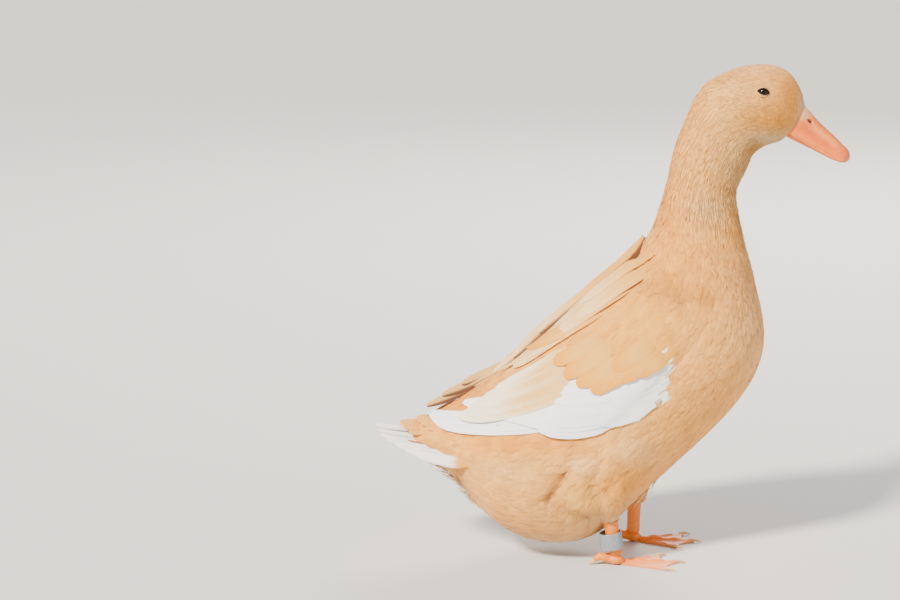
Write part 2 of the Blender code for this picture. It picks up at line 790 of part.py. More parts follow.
def build_foot(word):
    """A webbed foot: toes and web as one sheet, with the claws, hind toe and ankle joined on."""
    across = WEB_ACROSS
    steps = WEB_STEPS
    base = leg_point(word, LEGS[word][1])
    base.z = 0.0
    top = []
    low = []
    for i in range(steps + 1):
        out = i / steps
        top.append([])
        low.append([])
        for j in range(across + 1):
            toe = 2.0 * j / across
            point = base + toe_direction(word, toe) * (TOE_START + (web_reach(toe) - TOE_START) * out)
            edge = FOOT_SIDE if j in (0, across) else 1.0
            top[-1].append(point + Vector((0.0, 0.0, foot_height(toe, out) * edge)))
            low[-1].append(point)
    foot = closed_sheet("foot_" + word, top, low, "legs")
    pieces = []
    for toe, reach in enumerate(TOE_REACH):
        direction = toe_direction(word, toe)
        claw = rod_along(base + direction * (reach - CLAW_START), direction, CLAW)
        pieces.append(make_object("claw", claw, "legs"))
    hind = rod_along(base, toe_direction(word, 1) * -1.0, HIND_TOE)
    pieces.append(make_object("hind_toe", hind, "legs"))
    knob = base + Vector((0.0, 0.0, ANKLE_KNOB_HIGH))
    pieces.append(round_ball("ankle", knob, ANKLE_KNOB, "legs"))
    fuse(foot, pieces)
    below = [[Vector((x, y, z)) for x, y in FLOOR_CORNERS] for z in (-FLOOR_DEEP, 0.0)]
    fuse(foot, [make_object("below_floor", skin_rings(below), "legs")], "DIFFERENCE")
    return foot


def shank_tube(word, grow):
    _, ankle, top, _ = LEGS[word]
    low = leg_point(word, ankle)
    high = leg_point(word, top)
    if grow:
        high = high + (high - low).normalized() * grow
    points = [low.lerp(high, share) for share, _ in SHANK_SHAPE]
    return tube(points, [radius + grow for _, radius in SHANK_SHAPE], SHANK_AROUND)


def build_shank(word, cutters):
    shank = make_object("shank_" + word, shank_tube(word, 0.0), "legs")
    fuse(shank, cutters, "DIFFERENCE")
    return shank


def build_thigh(word, cutters):
    """The feathered thigh, which swells from the flank and fits round the top of the shank."""
    points = [leg_point(word, row[:3]) for row in THIGHS[word]]
    radii = [row[3] for row in THIGHS[word]]
    thigh = make_object("thigh_" + word, tube(points, radii, THIGH_AROUND), "plumage")
    cutters = cutters + [make_object("cut_shank", shank_tube(word, GAP + CUT_SLACK), "legs")]
    fuse(thigh, cutters, "DIFFERENCE")
    return thigh


def build_band():
    """A plain open ring that rests a little loose on the right shank."""
    centre = leg_point("right", BAND_AT)
    inner = BAND_RADIUS - BAND_WALL
    outline = ((BAND_RADIUS, -BAND_HALF), (BAND_RADIUS, BAND_HALF), (inner, BAND_HALF), (inner, -BAND_HALF))
    tilt = Matrix.Rotation(BAND_TILT, 3, "Y")
    rings = []
    steps = BAND_STEPS
    for i in range(steps):
        angle = math.tau * i / steps
        rings.append([])
        for radius, z in outline:
            point = Vector((radius * math.cos(angle), radius * math.sin(angle), z))
            rings[-1].append(centre + tilt @ point)
    return closed_loop("leg_band", rings, "band")


def smooth_shading(obj):
    obj.data.shade_smooth()
    obj.data.set_sharp_from_angle(angle=SHARP_ANGLE)


def main():
    clear_scene()
    nodes = [body_length("torso", TORSO_STATIONS, TORSO_AROUND, "plumage")]
    nodes.append(body_length("neck", NECK_STATIONS, NECK_AROUND, "plumage"))
    nodes += build_head()
    nodes += [build_upper_bill(), build_lower_bill(), build_tail()]
    nodes += build_wings()
    for word in LEGS:
        nodes.append(build_thigh(word, [torso_cutter("cut_thigh")]))
        nodes.append(build_shank(word, [torso_cutter("cut_shank")]))
        nodes.append(build_foot(word))
    nodes.append(build_band())
    for node in nodes:
        smooth_shading(node)


main()
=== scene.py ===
"""Looks of the standing buff duck hen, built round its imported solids.

Sizes are in millimetres until a mesh is made, which is in metres. The duck faces +X, its left
side is +Y and the floor is z = 0. The body is the same loft as the solids': a place on it has a
section s, from the tail root to the bill, and a turn, 0 on the back, 0.5 left, 1 below, 1.5 right.
"""

import math

import bpy
import numpy as np
from mathutils import Matrix, Vector
from mathutils.bvhtree import BVHTree
from mathutils.kdtree import KDTree


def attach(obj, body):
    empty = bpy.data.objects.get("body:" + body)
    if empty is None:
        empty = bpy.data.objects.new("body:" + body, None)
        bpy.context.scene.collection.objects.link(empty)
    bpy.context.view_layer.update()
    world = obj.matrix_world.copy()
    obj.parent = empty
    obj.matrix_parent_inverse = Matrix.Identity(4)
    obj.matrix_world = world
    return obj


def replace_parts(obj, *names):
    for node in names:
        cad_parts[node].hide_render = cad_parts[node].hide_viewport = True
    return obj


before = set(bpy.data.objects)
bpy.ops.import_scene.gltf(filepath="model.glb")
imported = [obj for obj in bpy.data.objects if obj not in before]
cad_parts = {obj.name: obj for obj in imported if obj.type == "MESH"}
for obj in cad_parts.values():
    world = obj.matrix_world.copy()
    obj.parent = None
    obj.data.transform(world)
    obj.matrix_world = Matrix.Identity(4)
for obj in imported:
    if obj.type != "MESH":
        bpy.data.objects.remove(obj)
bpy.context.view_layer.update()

MM = 0.001
BODY_NAME = "root"
SIDES = {"right": -1.0, "left": 1.0}

# Body sections: top x and z, bottom x and z, half width, how much wider the lower half is
BODY_SECTIONS = (
    (-191.0, 128.0, -186.5, 106.0, 19.0, 0.00),
    (-166.0, 140.0, -168.5, 90.5, 33.0, 0.00),
    (-135.0, 159.5, -145.0, 70.0, 47.0, 0.04),
    (-104.5, 182.0, -125.0, 44.0, 60.0, 0.08),
    (-72.0, 207.5, -95.0, 21.0, 70.0, 0.10),
    (-39.5, 235.5, -58.5, 11.0, 76.0, 0.10),
    (-11.0, 262.5, -13.0, 21.0, 79.0, 0.10),
    (15.5, 286.5, 32.5, 62.0, 79.0, 0.08),
    (27.0, 301.0, 86.0, 113.0, 76.0, 0.06),
    (33.5, 311.5, 130.5, 165.5, 71.0, 0.04),
    (37.5, 319.0, 145.0, 209.5, 63.0, 0.00),
    (41.0, 329.0, 141.0, 245.0, 53.0, 0.00),
    (44.5, 338.5, 133.0, 277.0, 44.0, 0.00),
    (47.5, 349.5, 125.0, 308.0, 37.0, 0.00),
    (51.0, 363.0, 119.5, 334.5, 32.0, 0.00),
    (54.0, 378.0, 118.0, 351.5, 29.5, 0.00),
    (58.5, 396.0, 123.5, 365.0, 28.5, 0.02),
    (67.0, 418.0, 129.0, 377.0, 28.0, 0.04),
    (80.0, 446.0, 132.0, 385.0, 28.0, 0.06),
    (95.5, 459.5, 137.5, 390.5, 28.0, 0.08),
    (118.0, 469.0, 145.0, 395.0, 27.5, 0.10),
    (143.0, 471.5, 151.0, 396.5, 26.0, 0.12),
    (162.0, 466.0, 155.0, 397.5, 22.5, 0.14),
    (173.0, 453.5, 158.0, 399.0, 18.5, 0.18),
    (178.5, 441.0, 160.5, 401.0, 14.8, 0.24),
    (180.6, 431.1, 162.8, 402.7, 12.4, 0.30),
)
BODY_END = len(BODY_SECTIONS) - 1.0

# How deep the skin lies under the solids' surface, by section
COAT_DEPTH = ((0.0, 1.6), (2.0, 2.2), (9.0, 2.4), (12.5, 1.9), (17.0, 1.3), (20.0, 0.9), (25.0, 0.5))

# Thighs: the middle line from the shank upwards, out from the middle of the bird, with its radius
THIGHS = {
    "right": ((-2.5, 41.5, 47, 10.5), (-2, 48, 58, 13), (0, 58, 74, 15), (0, 65, 92, 11.5), (-2, 68, 103, 5)),
    "left": ((22.5, 41.5, 40, 10), (24, 45, 53, 13), (26, 54, 70, 15), (24, 62, 90, 12.5), (20, 66, 104, 5)),
}
THIGH_DEPTH = 1.4
THIGH_STATIONS = 24

# The fleshy part of the wing: section, upper and lower edge as turns, height above the body
WING_CORE = (
    (3.0, 0.100, 0.395, 1.0),
    (3.8, 0.085, 0.420, 3.4),
    (4.6, 0.080, 0.450, 6.0),
    (5.4, 0.075, 0.478, 7.6),
    (6.2, 0.075, 0.502, 8.4),
    (7.0, 0.085, 0.508, 7.8),
    (7.7, 0.110, 0.510, 5.8),
    (8.3, 0.170, 0.500, 3.0),
    (8.8, 0.250, 0.480, 0.8),
)
# Points along and across it, and how deep it reaches into the body
CORE_GRID = (40, 24)
CORE_SUNK = -4.0
# How the flesh falls off: its upper edge, its fall towards the lower one, where that falls
CORE_EDGE = 0.07
CORE_FALL = 0.45
CORE_SLOPE = (0.2, 0.9)

# The hollow between the wings along the back: depth and reach, where it begins and ends by section
VALLEY = (7.0, 12.0)
VALLEY_START = (2.8, 3.8)
VALLEY_END = (7.2, 8.4)
# Its painted shade along the near side: strength and tint, middle and reach across, the x it lies between,
# the z it lies above
VALLEY_PAINTED_SHADE = 0.7
VALLEY_TINT = (0.85, 1.0, 1.15)
SHADE_MIDDLE = -2.0
SHADE_REACH = 7.0
SHADE_FROM = (-110.0, -90.0)
SHADE_TO = (0.0, 20.0)
SHADE_ABOVE = (150.0, 170.0)
# Bulges of thigh and flank in the side view: middle, size, height, the x from which each fades
THIGH_BULGE = ((-20.0, 80.0), (28.0, 33.0), 3.6, 60.0)
FLANK_BULGE = ((22.0, 96.0), (41.0, 34.0), 2.4, 5.0)
# The share of their size over which they end, and the length over which they fade forwards
BULGE_RIM = (0.78, 1.0)
BULGE_FADE = 35.0
# Creases of the lower flank in the side view: the line, its reach, depth and the strength of the painted
# shade in it
CREASES = (
    (((-41.0, 99.0), (-45.0, 93.0), (-51.0, 82.0), (-60.0, 69.0)), 4.4, 4.8, 0.55),
    (((-60.0, 69.0), (-46.0, 59.0), (-34.0, 55.5), (-22.0, 51.5)), 4.4, 3.4, 0.30),
    (((-9.0, 110.0), (-15.0, 97.0), (-19.0, 86.0), (-18.0, 76.0)), 4.0, 3.5, 0.24),
    (((30.0, 274.0), (58.0, 263.0), (92.0, 257.0)), 7.0, 2.4, 0.16),
)
# Tint of the painted shade in the creases, for each channel
CREASE_SHADE_TINT = (0.85, 1.0, 1.12)
# How far out from the middle the shapes and shades of the flank set in
FLANK_OUT = (28.0, 42.0)
# Points along and round the body before it is remeshed, voxel, smoothing, sides of a rod
SKIN_GRID = (301, 144)
SKIN_VOXEL = 2.6
SKIN_SMOOTHING = 6
ROD_SIDES = 32

# The view of the photograph
LENS_PIXELS = 2600.0
PICTURE = (900.0, 600.0)
SENSOR = 36.0
VIEW_DISTANCE = 2470.0
VIEW_ELEVATION = math.radians(11.0)
VIEW_CENTRE = (0.0, 0.0, 236.5)
CENTRE_PIXEL = (611.5, 312.0)

# Paint against the colour seen: how much stronger and darker, its limits, each channel's brightness
SATURATION = 1.6
PAINT_LEVEL = 0.84
PAINT_RANGE = (0.01, 0.95)
GREY_SHARES = (0.2126, 0.7152, 0.0722)


def linear(red, green, blue):
    """A linear colour from one given in the usual 0 to 255 steps."""
    share = np.array((red, green, blue)) / 255.0
    return np.where(share <= 0.04045, share / 12.92, ((share + 0.055) / 1.055) ** 2.4)


def pigment(red, green, blue):
    """The paint that looks like the given colour once lit: stronger, and a little darker."""
    seen = linear(red, green, blue)
    grey = (seen * GREY_SHARES).sum()
    return np.clip((grey + (seen - grey) * SATURATION) * PAINT_LEVEL, *PAINT_RANGE)


BUFF = pigment(231, 182, 138)


def unit(vectors):
    return vectors / np.maximum(np.linalg.norm(vectors, axis=-1, keepdims=True), 1e-9)


def mixed(start, end, share):
    return start + (end - start) * share


def smooth_step(low, high, value):
    share = np.clip((value - low) / (high - low), 0.0, 1.0)
    return share * share * (3.0 - 2.0 * share)


def fading(low, high, value):
    return 1.0 - smooth_step(low, high, value)


def bell(value):
    """1 at zero, and next to nothing from 2 on both sides."""
    return np.exp(-(value**2))


def table_value(table, at):
    rows = np.array(table, float)
    return np.interp(at, rows[:, 0], rows[:, 1])


class Spline:
    """A natural cubic spline through the rows of a table, over the row number."""

    def __init__(self, rows):
        self.rows = np.array(rows, float)
        count = len(self.rows)
        system = np.eye(count)
        right = np.zeros_like(self.rows)
        for i in range(1, count - 1):
            system[i, i - 1 : i + 2] = (1.0, 4.0, 1.0)
            right[i] = 6.0 * (self.rows[i - 1] - 2.0 * self.rows[i] + self.rows[i + 1])
        self.bend = np.linalg.solve(system, right)

    def __call__(self, s):
        s = np.asarray(s, float)
        i = np.clip(np.floor(s).astype(int), 0, len(self.rows) - 2)
        b = (s - i)[..., None]
        a = 1.0 - b
        straight = a * self.rows[i] + b * self.rows[i + 1]
        return straight + ((a**3 - a) * self.bend[i] + (b**3 - b) * self.bend[i + 1]) / 6.0


def sampled(table, count, end=None):
    """Rows at even steps along the smooth line through the rows of a table."""
    return Spline(table)(np.linspace(0.0, len(table) - 1.0 if end is None else end, count))


BODY = Spline(BODY_SECTIONS)


def body_point(s, turn):
    row = BODY(s)
    rise = np.cos(math.pi * turn)
    across = row[..., 4] * np.sin(math.pi * turn) * (1.0 - row[..., 5] * rise)
    x = (row[..., 0] + row[..., 2]) / 2 + (row[..., 0] - row[..., 2]) / 2 * rise
    z = (row[..., 1] + row[..., 3]) / 2 + (row[..., 1] - row[..., 3]) / 2 * rise
    return np.stack((x, across, z), -1)


def body_axes(s, turn):
    """The directions along the body towards the bill and straight out of it."""
    step = 0.02
    ahead = body_point(np.minimum(s + step, BODY_END), turn)
    along = ahead - body_point(np.maximum(s - step, 0.0), turn)
    around = body_point(s, turn + step) - body_point(s, turn - step)
    return unit(along), unit(np.cross(along, around))


def on_body(s, turn, height):
    return body_point(s, turn) + body_axes(s, turn)[1] * np.asarray(height)[..., None]


# Steps of the grids in which places on the body are looked up, then refined
SECTION_STEP = 0.1
TURN_STEP = 1 / 72
SIDE_TURNS = np.arange(0.02, 0.985, 0.02)
TURN_LIMITS = (0.02, 0.98)
NECK_FROM = 12.0
SEARCH_ROUNDS = 3
SEARCH_STEP = 1e-3
SEARCH_DAMPING = 1e-3


def side_view(s, turn):
    return body_point(s, turn)[..., [0, 2]]


def find_on_body(x, z, first=0.0, last=NECK_FROM):
    """The sections and turns of the left side's points that lie at (x, z) in the side view."""
    target = np.stack((np.asarray(x, float), np.asarray(z, float)), -1).reshape(-1, 2)
    sections = np.arange(first, last + 0.01, SECTION_STEP)
    grid_s, grid_turn = np.meshgrid(sections, SIDE_TURNS, indexing="ij")
    places = side_view(grid_s, grid_turn).reshape(-1, 2)
    nearest = ((places[None] - target[:, None]) ** 2).sum(-1).argmin(1)
    s = grid_s.ravel()[nearest]
    turn = grid_turn.ravel()[nearest]
    for _ in range(SEARCH_ROUNDS):
        here = side_view(s, turn)
        slope_s = (side_view(s + SEARCH_STEP, turn) - here) / SEARCH_STEP
        slope_turn = (side_view(s, turn + SEARCH_STEP) - here) / SEARCH_STEP
        slope = np.stack((slope_s, slope_turn), -1)
        square = np.einsum("nij,nik->njk", slope, slope) + np.eye(2) * SEARCH_DAMPING
        wanted = np.einsum("nij,ni->nj", slope, target - here)
        change = np.linalg.solve(square, wanted[..., None])[..., 0]
        s = np.clip(s + change[:, 0], 0.0, BODY_END)
        turn = np.clip(turn + change[:, 1], *TURN_LIMITS)
    return s.reshape(np.shape(x)), turn.reshape(np.shape(x))


def grid_faces(rows, columns, wrap):
    """Triangles over a grid of points, joined round its columns if wrap says so."""
    i, j = np.meshgrid(np.arange(rows - 1), np.arange(columns if wrap else columns - 1), indexing="ij")
    a = (i * columns + j).ravel()
    b = (i * columns + (j + 1) % columns).ravel()
    c = b + columns
    d = a + columns
    return np.concatenate((np.stack((a, b, c), -1), np.stack((a, c, d), -1)))


def fan(centre, ring):
    ring = np.asarray(ring)
    return np.stack((np.full(len(ring), centre), ring, np.roll(ring, -1)), -1)


def closed_tube(rings):
    """The points and triangles of a tube through rings of points, with a cap at each end."""
    rows, columns = rings.shape[:2]
    count = rows * columns
    points = np.concatenate((rings.reshape(-1, 3), rings[0].mean(0)[None], rings[-1].mean(0)[None]))
    first = np.arange(columns)
    last = first + count - columns
    caps = (fan(count, first[::-1]), fan(count + 1, last))
    return points, np.concatenate((grid_faces(rows, columns, True), *caps))


def closed_sheet(top, low):
    """The points and triangles of a closed sheet between two grids of points."""
    rows, columns = top.shape[:2]
    count = rows * columns
    points = np.concatenate((top.reshape(-1, 3), low.reshape(-1, 3)))
    face = grid_faces(rows, columns, False)
    number = np.arange(count).reshape(rows, columns)
    rim = np.concatenate((number[:-1, 0], number[-1, :-1], number[:0:-1, -1], number[0, :0:-1]))
    ahead = np.roll(rim, -1)
    near = np.stack((rim, ahead, ahead + count), -1)
    far = np.stack((rim, ahead + count, rim + count), -1)
    side = np.concatenate((near, far))
    return points, np.concatenate((face[:, ::-1], face + count, side[:, ::-1]))


def rod(points, radii, around):
    """A closed round rod along a smooth line of points."""
    points = np.asarray(points, float)
    ahead = unit(np.gradient(points, axis=0))
    side = unit(np.cross(ahead, (0.0, 1.0, 0.0)))
    other = np.cross(ahead, side)
    angle = np.arange(around) * math.tau / around
    cos, sin = np.cos(angle)[None, :, None], np.sin(angle)[None, :, None]
    ring = side[:, None] * cos + other[:, None] * sin
    return closed_tube(points[:, None] + ring * np.asarray(radii, float)[:, None, None])


def outward(points, faces):
    """The same triangles, turned round if they face inwards."""
    a, b, c = (points[faces[:, k]] for k in range(3))
    volume = np.einsum("ij,ij->i", a, np.cross(b, c)).sum()
    return faces if volume > 0 else faces[:, ::-1]


def merged(parts):
    """The points and triangles of several closed parts, each facing outwards."""
    points = []
    faces = []
    count = 0
    for part_points, part_faces in parts:
        points.append(part_points)
        faces.append(outward(part_points, part_faces) + count)
        count += len(part_points)
    return np.concatenate(points), np.concatenate(faces)


def add_object(name, data):
    made = bpy.data.objects.new(name, data)
    bpy.context.scene.collection.objects.link(made)
    return made


def make_mesh(name, points, faces):
    mesh = bpy.data.meshes.new(name)
    faces = np.ascontiguousarray(faces, np.int32)
    mesh.vertices.add(len(points))
    mesh.vertices.foreach_set("co", (np.asarray(points) * MM).astype(np.float32).ravel())
    mesh.loops.add(faces.size)
    mesh.loops.foreach_set("vertex_index", faces.ravel())
    mesh.polygons.add(len(faces))
    mesh.polygons.foreach_set("loop_start", np.arange(0, faces.size, 3, dtype=np.int32))
    mesh.update(calc_edges=True)
    return mesh


def store(mesh, name, kind, key, values):
    """A value of its own for each point of a mesh."""
    kept = mesh.attributes.new(name, kind, "POINT")
    kept.data.foreach_set(key, np.asarray(values, np.float32).ravel())


def make_piece(name, points, faces, finish, slot, colour, vane=None, uv=None, sharp=None):
    """A shown piece, with its colour and its place along and across a feather at each point."""
    faces = outward(points, faces)
    mesh = make_mesh(name, points, faces)
    shades = np.ones((len(points), 4), np.float32)
    shades[:, :3] = colour
    store(mesh, "tone", "FLOAT_COLOR", "color", shades)
    if vane is not None:
        store(mesh, "vane", "FLOAT_VECTOR", "vector", vane)
    if uv is not None:
        corners = np.asarray(uv, np.float32)[faces.ravel()]
        mesh.uv_layers.new(name="OFBake").data.foreach_set("uv", corners.ravel())
    mesh.shade_smooth()
    if sharp is not None:
        mesh.set_sharp_from_angle(angle=math.radians(sharp))
    mesh.materials.append(finish)
    piece = add_object(name, mesh)
    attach(piece, BODY_NAME)
    return piece


def remeshed(parts, voxel, smoothing):
    """One closed skin over several overlapping closed parts, as points and triangles."""
    mesh = make_mesh("rough", *merged(parts))
    rough = add_object("rough", mesh)
    skin = rough.modifiers.new("skin", "REMESH")
    skin.mode = "VOXEL"
    skin.voxel_size = voxel * MM
    soft = rough.modifiers.new("soft", "SMOOTH")
    soft.factor = 0.5
    soft.iterations = smoothing
    graph = bpy.context.evaluated_depsgraph_get()
    made = bpy.data.meshes.new_from_object(rough.evaluated_get(graph))
    bpy.data.objects.remove(rough)
    made.calc_loop_triangles()
    points = np.zeros(len(made.vertices) * 3, np.float32)
    made.vertices.foreach_get("co", points)
    triangles = np.zeros(len(made.loop_triangles) * 3, np.int32)
    made.loop_triangles.foreach_get("vertices", triangles)
    bpy.data.meshes.remove(made)
    bpy.data.meshes.remove(mesh)
    points = points.reshape(-1, 3).astype(float) / MM
    triangles = triangles.reshape(-1, 3)
    return points, outward(points, triangles)


def point_normals(points, triangles):
    a, b, c = (points[triangles[:, k]] for k in range(3))
    flat = np.cross(b - a, c - a)
    normals = np.zeros_like(points)
    for k in range(3):
        np.add.at(normals, triangles[:, k], flat)
    return unit(normals)


class Surface:
    """A mesh that feathers are laid on, with the section and turn of each of its points."""

    def __init__(self, points, triangles):
        self.points = points
        self.triangles = triangles
        self.normals = point_normals(points, triangles)
        self.tree = BVHTree.FromPolygons(points.tolist(), triangles.tolist())

    def settle(self, places):
        """The nearest points of the surface, and the smooth normals there."""
        flat = np.asarray(places).reshape(-1, 3)
        found = [self.tree.find_nearest(place) for place in flat.tolist()]
        spot = np.array([tuple(hit[0]) for hit in found])
        corners = self.triangles[np.array([hit[2] for hit in found])]
        far = np.linalg.norm(self.points[corners] - spot[:, None], axis=-1)
        weight = 1.0 / (far + 0.05)
        normal = unit((self.normals[corners] * weight[..., None]).sum(1))
        return spot.reshape(places.shape), normal.reshape(places.shape)


def point_tree(points):
    tree = KDTree(len(points))
    for number, place in enumerate(points.tolist()):
        tree.insert(place, number)
    tree.balance()
    return tree


def body_places(points):
    """The section and turn of the body nearest to each point."""
    sections = np.arange(0.0, BODY_END + 0.01, SECTION_STEP)
    grid_s, grid_turn = np.meshgrid(sections, np.arange(0.0, 2.0, TURN_STEP), indexing="ij")
    tree = point_tree(body_point(grid_s, grid_turn).reshape(-1, 3))
    nearest = np.array([tree.find(place)[1] for place in points.tolist()])
    return grid_s.ravel()[nearest], grid_turn.ravel()[nearest]


def thigh_line(word):
    """Points and radii down the middle of a thigh."""
    rows = [(x, out * SIDES[word], z, radius) for x, out, z, radius in THIGHS[word]]
    line = sampled(rows, THIGH_STATIONS)
    return line[:, :3], line[:, 3]


def wing_core():
    """The left wing's fleshy part, as a closed sheet on the flank."""
    rows = sampled(WING_CORE, CORE_GRID[0])
    share = np.linspace(0.0, 1.0, CORE_GRID[1])
    s = np.repeat(rows[:, :1], len(share), 1)
    turn = mixed(rows[:, 1:2], rows[:, 2:3], share)
    crown = smooth_step(0.0, CORE_EDGE, share) * (1.0 - CORE_FALL * smooth_step(*CORE_SLOPE, share))
    crown = crown * (1.0 - share**8)
    top = on_body(s, turn, rows[:, 3:4] * crown)
    low = on_body(s, turn, np.full_like(s, CORE_SUNK))
    return closed_sheet(top, low)


def mirrored(part):
    points, faces = part
    return points * (1.0, -1.0, 1.0), faces[:, ::-1]


def near_line(line, x, z):
    """How far each place lies from a line of the side view."""
    far = np.full(np.shape(x), 1e9)
    for (x0, z0), (x1, z1) in zip(line, line[1:]):
        share = ((x - x0) * (x1 - x0) + (z - z0) * (z1 - z0)) / ((x1 - x0) ** 2 + (z1 - z0) ** 2)
        share = np.clip(share, 0.0, 1.0)
        far = np.minimum(far, np.hypot(x - x0 - share * (x1 - x0), z - z0 - share * (z1 - z0)))
    return far


def relief(s, places):
    """How far the skin stands out of its even depth: the back's hollow, the thigh and the flank."""
    x, y, z = places[..., 0], places[..., 1], places[..., 2]
    depth, reach = VALLEY
    hollow = depth * bell(y / reach) * smooth_step(*VALLEY_START, s) * fading(*VALLEY_END, s)
    bulges = 0.0
    for centre, size, high, behind in (THIGH_BULGE, FLANK_BULGE):
        far = np.hypot((x - centre[0]) / size[0], (z - centre[1]) / size[1])
        bulges = bulges + high * fading(*BULGE_RIM, far) * fading(behind, behind + BULGE_FADE, x)
    for line, reach, deep, _ in CREASES:
        bulges = bulges - deep * bell(near_line(line, x, z) / reach)
    return bulges * smooth_step(*FLANK_OUT, np.abs(y)) - hollow


def build_base():
    """The skin: body, thighs and the fleshy parts of the wings under one surface."""
    long, around = SKIN_GRID
    turns = np.arange(around) / (around / 2)
    s, turn = np.meshgrid(np.linspace(0.0, BODY_END, long), turns, indexing="ij")
    high = relief(s, body_point(s, turn)) - table_value(COAT_DEPTH, s)
    parts = [closed_tube(on_body(s, turn, high))]
    for word in SIDES:
        line, radii = thigh_line(word)
        parts.append(rod(line, radii - THIGH_DEPTH, ROD_SIDES))
    core = wing_core()
    parts += [core, mirrored(core)]
    return Surface(*remeshed(parts, SKIN_VOXEL, SKIN_SMOOTHING))


# Soft spots of colour in the coat: centre x, z and distance out, reach of each, colour, strength. A few are
# painted shade or a painted highlight, as marked
COAT_SPOTS = (
    ((60, 290, 20), (34, 46, 70), pigment(222, 164, 112), 0.65),
    ((57, 326, 10), (12, 24, 40), pigment(216, 156, 104), 0.8),
    ((111, 318, 0), (16, 12, 40), pigment(222, 162, 112), 0.7),
    # A browner band round the neck's base: partly its own tone, partly painted shade along the fold there
    ((44, 268, 60), (30, 13, 40), pigment(212, 160, 114), 0.6),
    ((82, 262, 60), (28, 14, 40), pigment(214, 164, 120), 0.55),
    ((24, 290, 40), (16, 10, 40), pigment(216, 154, 102), 0.6),
    ((90, 338, 30), (24, 20, 40), pigment(204, 172, 138), 0.75),
    ((112, 378, 24), (18, 30, 30), pigment(200, 170, 136), 0.75),
    # Painted shade on the front of the neck
    ((126, 345, 6), (12, 36, 26), pigment(186, 162, 136), 0.85),
    ((134, 420, 26), (26, 14, 20), pigment(200, 156, 112), 0.8),
    ((115, 449, 26), (28, 8, 20), pigment(240, 202, 158), 0.7),
    ((100, 430, 26), (16, 30, 24), pigment(238, 200, 156), 0.5),
    ((163, 444, 18), (11, 18, 18), pigment(204, 150, 100), 0.85),
    ((181, 434, 8), (7, 15, 14), pigment(222, 206, 190), 0.9),
    ((146, 404, 10), (24, 9, 24), pigment(222, 208, 180), 0.8),
    ((152, 421, 20), (16, 14, 16), pigment(206, 154, 104), 0.7),
    # Painted shadow under the chin, where the throat meets the neck
    ((130, 394, 4), (9, 14, 20), pigment(150, 122, 92), 0.7),
    ((130, 473, 0), (40, 12, 22), pigment(236, 198, 166), 0.7),
    ((135, 230, 30), (26, 60, 60), pigment(236, 194, 156), 0.8),
    ((70, 140, 70), (30, 40, 60), pigment(226, 176, 128), 0.5),
    ((8, 92, 66), (24, 26, 30), pigment(224, 168, 112), 0.8),
    # A painted highlight on the thigh's lobe
    ((-24, 104, 72), (13, 8, 30), pigment(248, 222, 186), 0.5),
    ((-30, 74, 66), (14, 22, 30), pigment(234, 192, 142), 0.8),
    ((-60, 14, 0), (80, 20, 90), pigment(200, 176, 150), 0.9),
    ((-62, 14, -30), (16, 7, 70), pigment(246, 234, 220), 0.6),
    ((-128, 50, 0), (16, 14, 20), pigment(248, 232, 208), 0.9),
    ((-148, 78, 0), (16, 16, 18), pigment(240, 206, 166), 0.8),
    ((20, 44, 0), (60, 30, 44), pigment(206, 182, 152), 0.8),
    ((-10, 48, 50), (26, 14, 40), pigment(196, 168, 136), 0.7),
    ((-75, 50, 60), (24, 16, 40), pigment(212, 174, 136), 0.5),
    ((-150, 96, 0), (40, 30, 60), pigment(226, 190, 148), 0.4),
    ((-120, 120, 60), (50, 24, 50), pigment(228, 172, 120), 0.5),
    ((-80, 124, 66), (60, 9, 40), pigment(220, 158, 106), 0.65),
    ((-100, 96, 66), (34, 14, 40), pigment(238, 200, 160), 0.5),
    ((20, 118, 70), (26, 16, 40), pigment(242, 206, 168), 0.5),
    ((-140, 150, 10), (50, 22, 60), pigment(222, 158, 104), 0.8),
    ((-30, 262, 10), (90, 44, 30), pigment(240, 206, 164), 0.6),
    ((20, 240, 62), (30, 14, 30), pigment(240, 198, 152), 0.6),
)


def coat_colour(points):
    """The colour of skin and coat at each point: markings, with painted shade in the creases and in the
    back's hollow.
    """
    x, y, z = points[..., 0], points[..., 1], points[..., 2]
    places = np.stack((x, z, np.abs(y)), -1)
    colour = np.broadcast_to(BUFF, points.shape).copy()
    for centre, reach, shade, strength in COAT_SPOTS:
        far = (((places - centre) / reach) ** 2).sum(-1)
        colour += (shade - colour) * (strength * np.exp(-far))[..., None]
    flank = smooth_step(*FLANK_OUT, np.abs(y))
    # Painted shade in the creases
    for line, reach, _, dark in CREASES:
        near = bell(near_line(line, x, z) / reach) * flank
        colour *= 1.0 - dark * near[..., None] * CREASE_SHADE_TINT
    # Painted shade in the hollow along the back, just on the near side of its middle
    between = bell((y - SHADE_MIDDLE) / SHADE_REACH) * smooth_step(*SHADE_FROM, x)
    between = between * fading(*SHADE_TO, x) * smooth_step(*SHADE_ABOVE, z)
    return colour * (1.0 - VALLEY_PAINTED_SHADE * between[..., None] * VALLEY_TINT)


